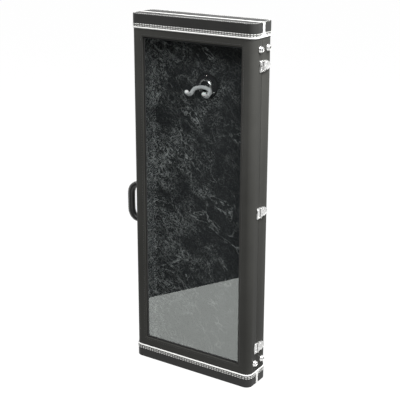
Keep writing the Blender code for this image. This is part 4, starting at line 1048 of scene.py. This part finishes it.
class DISPLAYCASE_OT_latches(bpy.types.Operator):
    """Add the pressed levers with their raised rims, the bails, the rivets and the lock"""

    bl_idname = "display_case.latches"
    bl_label = "Draw latches"

    def execute(self, context):
        for place, height in LATCH_Z.items():
            for part, name, build, key, body in (
                    ("lever", "handle", self.lever, "stamped", f"lever_{place}"),
                    ("bail", "wire", self.bail, "chrome", f"bail_{place}"),
                    ("plate", "base", self.plate, "chrome", "base"),
                    ("catch", "hook", self.catch, "chrome", "lid")):
                node = f"latch_{part}_{place}"
                add_piece(f"latch_{name}_{place}", build(height, *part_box(node)), key, body, node, sharp=50)
        dress_node("lock_plug", "dark_steel")
        return {"FINISHED"}

    def add_pressed(self, bm, outline, height, floor, rim, width):
        """Add a pressed sheet with a rim rolled up round its outline, and return its top."""
        top = floor + SHEET
        roll_shares = ((0.0, 0.6), (0.15, 0.9), (0.4, 1.0), (0.7, 0.9), (1.0, 0.4), (1.2, 0.0))
        levels = [(0.0, floor), *((width * inset, top + rim * rise) for inset, rise in roll_shares)]
        add_loft(bm, pressed_rings(outline, height, levels))
        return top

    def add_bar(self, bm, low, high):
        """Add a small bar with its outer edges eased."""
        ease = min(0.0004, (high[2] - low[2]) * 0.3)
        rings = []
        for inset, x in ((0.0, low[0]), (0.0, high[0] - ease), (ease, high[0])):
            rings.append([Vector((x, y, z)) for y, z in (
                (low[1] + inset, low[2] + inset), (high[1] - inset, low[2] + inset),
                (high[1] - inset, high[2] - inset), (low[1] + inset, high[2] - inset))])
        add_loft(bm, rings)

    def plate(self, height, low, high):
        """Return the base plate: a rimmed round end with its cheeks, ears and pin."""
        rim, rim_width, wall, inset = 0.0012, 0.0013, 0.0007, 0.0003
        cheek = ((0.0016, 0.0030), (0.0022, 0.0062), (0.0050, 0.0062), (0.0075, 0.0062), (0.0095, 0.0040))
        ear_inner, ear_outer, ear_near, ear_far, ear_rise = 0.0108, 0.0120, 0.0044, 0.0096, 0.0076
        pin_radius, pin_half = 0.0012, 0.0118
        bm = bmesh.new()
        half = (high.z - low.z) / 2
        outline = latch_edge(PARTING + LATCH_CLEAR, high.y, half)
        floor = self.add_pressed(bm, outline, height, low.x, rim, rim_width) - SUNK
        for side in SIDES:
            rings = []
            for y, rise in cheek:
                share = (PARTING + y - LATCH_ROOT) / (high.y - LATCH_ROOT)
                out = half * (1 - share ** LATCH_ROUNDNESS) ** (1 / LATCH_ROUNDNESS) - inset
                corners = ((floor, out - wall), (floor, out), (SIDE + rise, out), (SIDE + rise, out - wall))
                rings.append([Vector((x, PARTING + y, height + side * z)) for x, z in corners])
            add_loft(bm, rings)
            ear_low, ear_high = sorted((side * ear_inner, side * ear_outer))
            self.add_bar(bm, (floor, PARTING + ear_near, height + ear_low),
                         (SIDE + ear_rise, PARTING + ear_far, height + ear_high))
        pin = (SIDE + PIN_OUT, PARTING + PIN_IN, height)
        add_loft(bm, turned_rings([(pin_radius, -pin_half), (pin_radius, pin_half)], pin, (0, 0, 1), 16))
        return bm

    def catch(self, height, low, high):
        """Return the lid's plate, rimmed on its outer edges, with the nose that the bail hooks over."""
        rim, rim_width, corner = 0.0010, 0.0012, 0.0012
        nose_near, nose_far, nose_half = 0.0087, 0.0107, 0.009
        rivet_in, rivet_spread, rivet_height = 0.0045, 0.0118, 0.0010
        bm = bmesh.new()
        half, near = (high.z - low.z) / 2, PARTING - LATCH_CLEAR
        outline = [(near, -half), (near, half), (low.y + corner, half), (low.y, half - corner),
                   (low.y, -half + corner), (low.y + corner, -half)]
        top = self.add_pressed(bm, outline, height, low.x, rim, rim_width)
        self.add_bar(bm, (top - SUNK, PARTING - nose_far, height - nose_half),
                     (high.x, PARTING - nose_near, height + nose_half))
        places = [(top, PARTING - rivet_in, height + side * rivet_spread) for side in SIDES]
        add_rivets(bm, places, (1, 0, 0), sizes().rivet_radius, rivet_height)
        return bm

    def lever(self, height, low, high):
        """Return a lever: a neck that slopes down over the pin, a round end, a turned skirt and a rim."""
        neck, neck_start, waist, shoulder, half = 0.0105, 0.0012, 0.0035, PARTING + 0.017, 0.015
        end_clear, skirt, hollow = 0.001, 0.0010, 0.0022
        rim = ((0.0, 0.0009), (0.00025, 0.0003), (0.0008, 0.0), (0.0022, 0.0), (0.0028, 0.0004),
               (0.0032, 0.0009), (0.0040, 0.0010))
        slope = ((0.0026, 0.0014), (0.0024, 0.0008), (-0.0013, -0.0026), (-0.0018, -0.0027),
                 (-0.0026, -0.0012), (-0.0026, 0.0014))
        pin = Vector((SIDE + PIN_OUT, PARTING + PIN_IN, height))
        side = [(pin.y + neck_start, -neck), (shoulder - waist, -neck)]
        outline = side + latch_edge(shoulder, high.y - end_clear, half) + [(y, -z) for y, z in reversed(side)]
        levels = [(skirt, high.x - hollow), (skirt, low.x), (0.0, low.x)]
        levels += [(inset, high.x - fall) for inset, fall in rim]
        bm = loft(pressed_rings(outline, height, levels))
        add_loft(bm, [[pin + Vector((x, y, z)) for x, y in slope] for z in (-neck, neck)])
        return bm

    def bail(self, height, low, high):
        """Return the wire bail as one bent rod, its ends in the lever's sides."""
        radius, end, bend = 0.001, 0.0092, 0.003
        x, half = (low.x + high.x) / 2, high.z - height - radius
        near, far = high.y - radius, low.y + radius
        corners = [Vector((x, y, height + z)) for y, z in (
            (near, -end), (near, -half), (far, -half), (far, half), (near, half), (near, end))]
        return loft(tube_rings([*rounded_path(corners, bend), corners[-1]], radius, 14))


class DISPLAYCASE_OT_hinges(bpy.types.Operator):
    """Finish the hinges and rivet their leaves"""

    bl_idname = "display_case.hinges"
    bl_label = "Hinges"

    def execute(self, context):
        x, inwards, spread, bow, head = -SIDE - GAP - SHEET, 0.0125, 0.018, 0.002, 0.0012
        for body, away in HALVES.items():
            bm = bmesh.new()
            for place in PLACES:
                node = f"hinge_{body}_leaf_{place}"
                dress_node(node, "chrome")
                y, middle = PARTING + away * inwards, middle_z(node)
                places = [(x, y + away * bow * abs(step), middle + spread * step) for step in (-1, 0, 1)]
                add_rivets(bm, places, (-1, 0, 0), sizes().rivet_radius, head)
            add_piece(body + "_hinge_rivets", bm, "chrome", body)
        for place in PLACES:
            dress_node(f"hinge_pin_{place}", "chrome")
        return {"FINISHED"}


# A foot's section from its recess to its base, as shares of its radius and height
FOOT_SHARES = ((0.46, 0.30), (0.48, 0.82), (0.52, 0.96), (0.58, 1.0), (0.65, 0.97), (0.75, 0.87),
               (0.82, 0.72), (0.88, 0.52), (0.90, 0.30), (0.94, 0.25), (0.99, 0.22), (1.0, 0.16),
               (1.0, 0.0))


class DISPLAYCASE_OT_feet(bpy.types.Operator):
    """Turn the domed feet, each with its washer and crossed screw"""

    bl_idname = "display_case.feet"
    bl_label = "Feet"

    def execute(self, context):
        recess_share, screw_share = FOOT_SHARES[0][1], 0.40
        for half in reversed(HALVES):
            screws = bmesh.new()
            for end in ENDS:
                node = f"foot_{half}_{end}"
                low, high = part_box(node)
                radius, height = (high.z - low.z) / 2, high.x - low.x
                centre = Vector((low.x, (low.y + high.y) / 2, (low.z + high.z) / 2))
                section = [(radius * out, height * up) for out, up in FOOT_SHARES]
                foot = loft(turned_rings(section, centre, (1, 0, 0), 48))
                add_piece(f"{half}_foot_{end}", foot, "chrome", half, node, sharp=50)
                recess = centre + Vector((height * recess_share, 0, 0))
                self.add_screw(screws, recess, radius * screw_share)
            # The screws' dark steel also paints the shade in each foot's recess
            add_piece(half + "_foot_screws", screws, "dark_steel", half)
        return {"FINISHED"}

    def add_screw(self, bm, place, radius):
        """Add a pan head with four quarters that leave a crossed recess."""
        inner_share, slot_angle = 0.24, 12
        level_shares = ((0.0, 1.0), (0.35, 0.96), (0.5, 0.8))
        inner = radius * inner_share
        for quarter in range(4):
            start = quarter * 90
            angle = math.radians(start + 45)
            base = [(inner * math.cos(angle), inner * math.sin(angle))]
            base += [(radius * c, radius * s) for c, s in circle(6, start + slot_angle, 90 - 2 * slot_angle)]
            rings = [[place + Vector((radius * lift, y * shrink, z * shrink)) for y, z in base]
                     for lift, shrink in level_shares]
            add_loft(bm, rings)


# Half of the handle from its pivot: reach, spread and swell as shares
GRIP_SHARES = ((-0.09, 1.0, 0.0), (0.10, 1.0, 0.0), (0.36, 0.965, 0.35), (0.62, 0.90, 0.70),
               (0.82, 0.78, 0.89), (0.94, 0.62, 1.0), (1.0, 0.40, 1.0))


class DISPLAYCASE_OT_handle(bpy.types.Operator):
    """Shape the handle with its welts and stitches, and rivet its brackets"""

    bl_idname = "display_case.handle"
    bl_label = "Handle"

    def execute(self, context):
        pivot_in, reach, spread, end_radius, swell = 0.004, 0.0445, 0.062, 0.0048, 0.0062
        low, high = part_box("handle_grip")
        middle, pivot_x = (low + high) / 2, high.x - pivot_in
        half = [(pivot_x - reach * out, spread * up, end_radius + swell * more)
                for out, up, more in GRIP_SHARES]
        whole = half + [(x, -z, radius) for x, z, radius in reversed(half)]
        path = smooth_path([(x, middle.y, middle.z + z) for x, z, _ in whole], 5)
        radii = [value.x for value in smooth_path([(radius, 0, 0) for *_, radius in whole], 5)]
        add_piece("handle_body", loft(tube_rings(path, radii, 28)), "handle", "handle", "handle_grip")
        self.add_welts(path, radii)
        self.add_bracket_rivets()
        return {"FINISHED"}

    def add_bracket_rivets(self):
        """Finish the brackets and add four rivets to each."""
        plate, across, upwards, size_share, head = 0.0018, 0.0052, 0.0105, 0.9, 0.0011
        bm = bmesh.new()
        for place in ENDS:
            node = f"handle_bracket_{place}"
            dress_node(node, "chrome")
            low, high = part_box(node)
            y, z = (low.y + high.y) / 2, (low.z + high.z) / 2
            places = [(-SIDE - GAP - plate, y + side * across, z + up * upwards)
                      for side in SIDES for up in SIDES]
            add_rivets(bm, places, (-1, 0, 0), sizes().rivet_radius * size_share, head)
        add_piece("bracket_rivets", bm, "chrome", "base")

    def add_welts(self, path, radii):
        """Add a raised welt and its stitches along each side of the grip's outer edge."""
        free, outwards, sideways, radius, beside = 8, 0.80, 0.60, 0.0009, 0.0022
        pitch, margin, stitch, thread = 0.0062, 0.004, 0.0042, 0.0009
        bm, sewn = bmesh.new(), bmesh.new()
        root = Vector((-SIDE, path[0].y, (path[0].z + path[-1].z) / 2))
        for side in SIDES:
            line = []
            for index in range(free, len(path) - free):
                lead = (path[index + 1] - path[index - 1]).normalized()
                out = lead.cross(Vector((0, 1, 0)))
                if out.dot(path[index] - root) < 0:
                    out.negate()
                direction = (out * outwards + Vector((0, side * sideways, 0))).normalized()
                line.append((path[index] + direction * radii[index], direction))
            add_loft(bm, tube_rings([place for place, _ in line], radius, 8))
            shifted = [(place + Vector((0, side * beside, 0)), out) for place, out in line]
            add_stitches(sewn, spaced(shifted, pitch, margin), stitch, thread)
        add_piece("handle_welts", bm, "handle", "handle")
        add_piece("handle_thread", sewn, "thread", "handle", sharp=70)


# Turned sections, as shares of a radius and of a height from the hanger's seat
FLANGE_SHARES = ((0.17, 0.0), (0.17, 1.0), (0.62, 1.0), (0.66, 0.9), (0.90, 0.86), (0.92, 0.98),
                 (0.955, 0.98), (0.985, 0.7), (1.0, 0.2), (1.0, 0.0))
DISH_SHARES = ((0.26, 0.0), (0.26, 0.42), (0.30, 0.50), (0.40, 0.52), (0.62, 0.50), (0.66, 0.50), (0.66, 0.0))
CREST_SHARES = ((0.665, 0.0), (0.665, 0.60), (0.68, 0.80), (0.71, 0.95), (0.75, 1.0), (0.79, 0.98))


def drawn_in(ring, share):
    """Return a ring drawn in towards its middle."""
    middle = sum(ring, Vector()) / len(ring)
    return [middle.lerp(point, share) for point in ring]


class DISPLAYCASE_OT_hanger(bpy.types.Operator):
    """Dress the flange, the ring and the yoke with its foam sleeves and tips"""

    bl_idname = "display_case.hanger"
    bl_label = "Hanger"

    def execute(self, context):
        low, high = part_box("hanger_flange")
        centre, radius, thick = (low + high) / 2, (high.x - low.x) / 2, high.y - low.y
        centre.y = high.y
        self.add_turned("hanger_plate", FLANGE_SHARES, radius, thick, centre, "flange", "hanger_flange")
        self.add_screws(centre, radius, thick)
        low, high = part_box("hanger_collar")
        radius, tall = (high.x - low.x) / 2, high.y - low.y
        centre.y = high.y
        self.add_turned("hanger_dish", DISH_SHARES, radius, tall, centre, "flange")
        ring = self.ring_section(radius, tall)
        self.add_turned("hanger_ring", ring, radius, tall, centre, "polished", "hanger_collar")
        dress_node("yoke_rod", "chrome")
        self.add_yoke()
        return {"FINISHED"}

    def add_screws(self, centre, radius, thick):
        """Add the flange's three screws."""
        circle_share, seat_share, head_radius, head = 0.8, 0.84, 0.0026, 0.0012
        bm = bmesh.new()
        for turn in (93, 213, 324):
            angle = math.radians(turn)
            place = centre + Vector((math.cos(angle), 0, math.sin(angle))) * (radius * circle_share)
            place.y -= thick * seat_share
            add_rivets(bm, [place], (0, -1, 0), head_radius, head)
        add_piece("hanger_screws", bm, "chrome", "base")

    def ring_section(self, radius, tall):
        """Return the ring's section: a crest, and a face outside it that falls away ever more steeply."""
        step_out, slope, bow = 0.04, 0.030, 0.0026
        section = list(CREST_SHARES)
        crest_out, crest_up = section[-1]
        for step in range(1, 6):
            fall = (slope * step + bow * step * step) * radius / tall
            section.append((crest_out + step_out * step, crest_up - fall))
        return [*section, (1.0, 0.0)]

    def add_turned(self, name, section, radius, height, centre, key, *nodes):
        """Add a closed ring turned from a section given in shares of a radius and a height."""
        profile = [(radius * out, height * up) for out, up in section]
        bm = loft(turned_rings(profile, centre, (0, -1, 0), 64), looped=True)
        add_piece(name, bm, key, "base", *nodes)

    def add_yoke(self):
        """Add a foam sleeve and a tip on each arm, along the rod's own bends."""
        foam, ball, hollow, bend, cut_back = 0.0060, 0.0066, 0.0043, 0.01296, 0.0053
        first_angle, turn, steps, groove_step, groove_depth = -52, 142, 16, 6, 0.00018
        start = Vector((0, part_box("yoke_sleeve_right")[1].y - foam, middle_z("hanger_collar")))
        crown = [Vector((0.004, 0, -0.0007)), Vector((0.009, 0, -0.0013)), Vector((0.014, 0, -0.0023))]
        corners = [Vector((0.0001, 0, -0.0006)), Vector((0.030, 0, -0.006)),
                   Vector((0.030, -0.0243, -0.024)), Vector((0.030, -0.0405, -0.012))]
        path = rounded_path(corners, bend, crown)
        lead = (corners[-1] - corners[-2]).normalized()
        path.append(corners[-1] - lead * cut_back)
        for place, flip in (("right", Vector((1, 1, 1))), ("left", FLIP)):
            line = [start + point * flip for point in path]
            toward = lead * flip
            rings, inner = tube_rings(line, foam, 24), tube_rings(line, hollow, 24)
            mouth = [[point + toward * lift for point in drawn_in(rings[-1], share)]
                     for share, lift in ((0.93, 0.0004), (0.82, 0.0006))]
            bm = loft([inner[0], *rings, *mouth, inner[-1], *inner[-2:0:-1]], looped=True)
            piece = add_piece(f"yoke_foam_{place}", bm, "foam", "yoke", f"yoke_sleeve_{place}")
            node = f"yoke_ball_{place}"
            middle = sum(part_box(node), Vector()) / 2
            profile = []
            for step in range(steps + 1):
                angle = math.radians(first_angle + turn * step / steps)
                groove = groove_depth if step == groove_step else 0.0
                profile.append((ball * math.cos(angle) - groove, ball * math.sin(angle)))
            tip = loft(turned_rings(profile, middle, toward, 36))
            add_piece(f"yoke_tip_{place}", tip, "tip", "yoke", node, sharp=60)


# Stage

def see_through_light(tree, plain, seen):
    """Return a shader that is plain for scattered light, and seen for the camera, metal and glass."""
    path = add_node(tree, "LightPath")
    either = combine(tree, "MAXIMUM", path.outputs["Is Camera Ray"], path.outputs["Is Glossy Ray"])
    shown = combine(tree, "MAXIMUM", either, path.outputs["Is Transmission Ray"])
    mix = add_node(tree, "MixShader")
    tree.links.new(shown, mix.inputs["Fac"])
    tree.links.new(plain, mix.inputs[1])
    tree.links.new(seen, mix.inputs[2])
    return mix.outputs["Shader"]


def upright(first, last, height):
    """Return the corners of a card that stands on a line on the floor."""
    rise = Vector((0, 0, height))
    return [first, last, last + rise, first + rise]


def stage_plane(name, corners, material, camera=True):
    """Add a four-cornered part of the stage; without camera, only reflections show it."""
    mesh = bpy.data.meshes.new(name)
    mesh.from_pydata(corners, [], [(0, 1, 2, 3)])
    mesh.materials.append(material)
    made = bpy.data.objects.new(name, mesh)
    bpy.context.scene.collection.objects.link(made)
    if not camera:
        made.visible_camera = False
        made.visible_shadow = False
        made.visible_diffuse = False


def floor_material():
    """Return the pale floor: white to the camera, with part of its own shading so that it keeps a shadow."""
    made, tree, shader = finish("studio_floor", colours().floor, 0.9, Specular_IOR_Level=0.0)
    dull = add_node(tree, "BsdfDiffuse", Color=(0.22, 0.22, 0.22, 1))
    glow = add_node(tree, "Emission", Color=(1, 1, 1, 1), Strength=1.05)
    blend = add_node(tree, "MixShader", Fac=0.92)
    tree.links.new(shader.outputs["BSDF"], blend.inputs[1])
    tree.links.new(glow.outputs["Emission"], blend.inputs[2])
    seen = see_through_light(tree, dull.outputs["BSDF"], blend.outputs["Shader"])
    tree.links.new(seen, tree.nodes["Material Output"].inputs["Surface"])
    return made


def add_lamp(name, place, target, width, height, watts):
    """Add a softbox that points at a target."""
    lamp = bpy.data.lights.new(name, "AREA")
    lamp.shape = "RECTANGLE"
    lamp.size, lamp.size_y = width, height
    lamp.energy = watts
    made = bpy.data.objects.new(name, lamp)
    made.location = place
    made.rotation_mode = "QUATERNION"
    made.rotation_quaternion = (Vector(target) - Vector(place)).to_track_quat("-Z", "Y")
    bpy.context.scene.collection.objects.link(made)


class DISPLAYCASE_OT_stage(bpy.types.Operator):
    """Set the camera, the softboxes, the pale floor and the dark cards that the window mirrors"""

    bl_idname = "display_case.stage"
    bl_label = "Stage"

    def execute(self, context):
        scene = context.scene
        scene.view_settings.view_transform = "Standard"
        self.add_camera(scene)
        reach, wall_x, wall_y, wall_high, card_high, overrun_share = 14.0, 6.0, -3.4, 6.0, 1.5, 0.5
        floor = [(-reach, -reach, 0), (reach, -reach, 0), (reach, reach, 0), (-reach, reach, 0)]
        stage_plane("studio_floor", floor, floor_material())
        dark, _, _ = finish("dark_card", (0.004, 0.004, 0.004), 1.0, Specular_IOR_Level=0.0)
        near, far = Vector((-0.4453, -0.4153, 0)), Vector((-0.2660, -0.7629, 0))
        run = far - near
        first, last = near - run * overrun_share, near + run * ((wall_y - near.y) / run.y)
        stage_plane("dark_card", upright(first, last, card_high), dark, camera=False)
        wall = upright(Vector((-wall_x, wall_y, 0)), Vector((wall_x, wall_y, 0)), wall_high)
        stage_plane("dark_wall", wall, dark, camera=False)
        self.add_world(scene)
        add_lamp("key_softbox", (1.4, -0.1, 2.6), (0, 0, 0.9), 1.0, 1.2, 124)
        add_lamp("front_softbox", (1.7, -2.4, 3.2), (0, 0, 0.8), 1.7, 1.7, 86)
        add_lamp("left_softbox", (-2.4, -1.5, 2.5), (-0.2, 0, 0.9), 1.2, 1.6, 42)
        return {"FINISHED"}

    def add_camera(self, scene):
        """Stand the camera where the photograph was taken from."""
        azimuth, pitch, roll = (math.radians(angle) for angle in (33.2208, 17.0747, 0.1121))
        target_height, distance = 0.6175, 2.9852
        back = Vector((math.sin(azimuth) * math.cos(pitch),
                       -math.cos(azimuth) * math.cos(pitch),
                       math.sin(pitch)))
        right = Vector((math.cos(azimuth), math.sin(azimuth), 0))
        up = back.cross(right)
        across = right * math.cos(roll) + up * math.sin(roll)
        upward = up * math.cos(roll) - right * math.sin(roll)
        camera = bpy.data.objects.new("camera", bpy.data.cameras.new("camera"))
        camera.data.sensor_width = 36
        camera.data.lens = 88.981
        camera.data.shift_y = -0.05
        camera.data.clip_end = 60
        place = Vector((0, 0, target_height)) + back * distance
        facing = Matrix((across, upward, back)).transposed().to_4x4()
        camera.matrix_world = Matrix.Translation(place) @ facing
        scene.collection.objects.link(camera)
        scene.camera = camera

    def add_world(self, scene):
        """Light softly from all round, and show white behind the case."""
        world = bpy.data.worlds.new("studio")
        world.use_nodes = True
        tree = world.node_tree
        plain = tree.nodes["Background"]
        plain.inputs["Color"].default_value = (1, 1, 1, 1)
        plain.inputs["Strength"].default_value = 0.32
        seen = add_node(tree, "Background", Color=(1, 1, 1, 1), Strength=1.0)
        shown = see_through_light(tree, plain.outputs["Background"], seen.outputs["Background"])
        tree.links.new(shown, tree.nodes["World Output"].inputs["Surface"])
        scene.world = world


class DISPLAYCASE_PT_pieces(bpy.types.Panel):
    """Lists the builders of the display case"""

    bl_label = "Display Case"
    bl_idname = "DISPLAYCASE_PT_pieces"
    bl_space_type = "VIEW_3D"
    bl_region_type = "UI"
    bl_category = "Display Case"

    def draw(self, context):
        for builder in BUILDERS:
            self.layout.operator(builder.bl_idname)
        for group in (context.scene.display_case_sizes, context.scene.display_case_colours):
            column = self.layout.column()
            for name in group.bl_rna.properties.keys():
                if name not in ("rna_type", "name"):
                    column.prop(group, name)


BUILDERS = (
    DISPLAYCASE_OT_shells,
    DISPLAYCASE_OT_caps,
    DISPLAYCASE_OT_piping,
    DISPLAYCASE_OT_stitching,
    DISPLAYCASE_OT_window,
    DISPLAYCASE_OT_lining,
    DISPLAYCASE_OT_latches,
    DISPLAYCASE_OT_hinges,
    DISPLAYCASE_OT_feet,
    DISPLAYCASE_OT_handle,
    DISPLAYCASE_OT_hanger,
    DISPLAYCASE_OT_stage,
)
CLASSES = (CaseSizes, CaseColours, *BUILDERS, DISPLAYCASE_PT_pieces)


def register():
    for cls in CLASSES:
        bpy.utils.register_class(cls)
    bpy.types.Scene.display_case_sizes = PointerProperty(type=CaseSizes)
    bpy.types.Scene.display_case_colours = PointerProperty(type=CaseColours)


def unregister():
    del bpy.types.Scene.display_case_colours
    del bpy.types.Scene.display_case_sizes
    for cls in reversed(CLASSES):
        bpy.utils.unregister_class(cls)


def main():
    register()
    for name in ("shells", "caps", "piping", "stitching", "window", "lining", "latches", "hinges", "feet",
                 "handle", "hanger", "stage"):
        getattr(bpy.ops.display_case, name)()


if __name__ == "__main__":
    main()
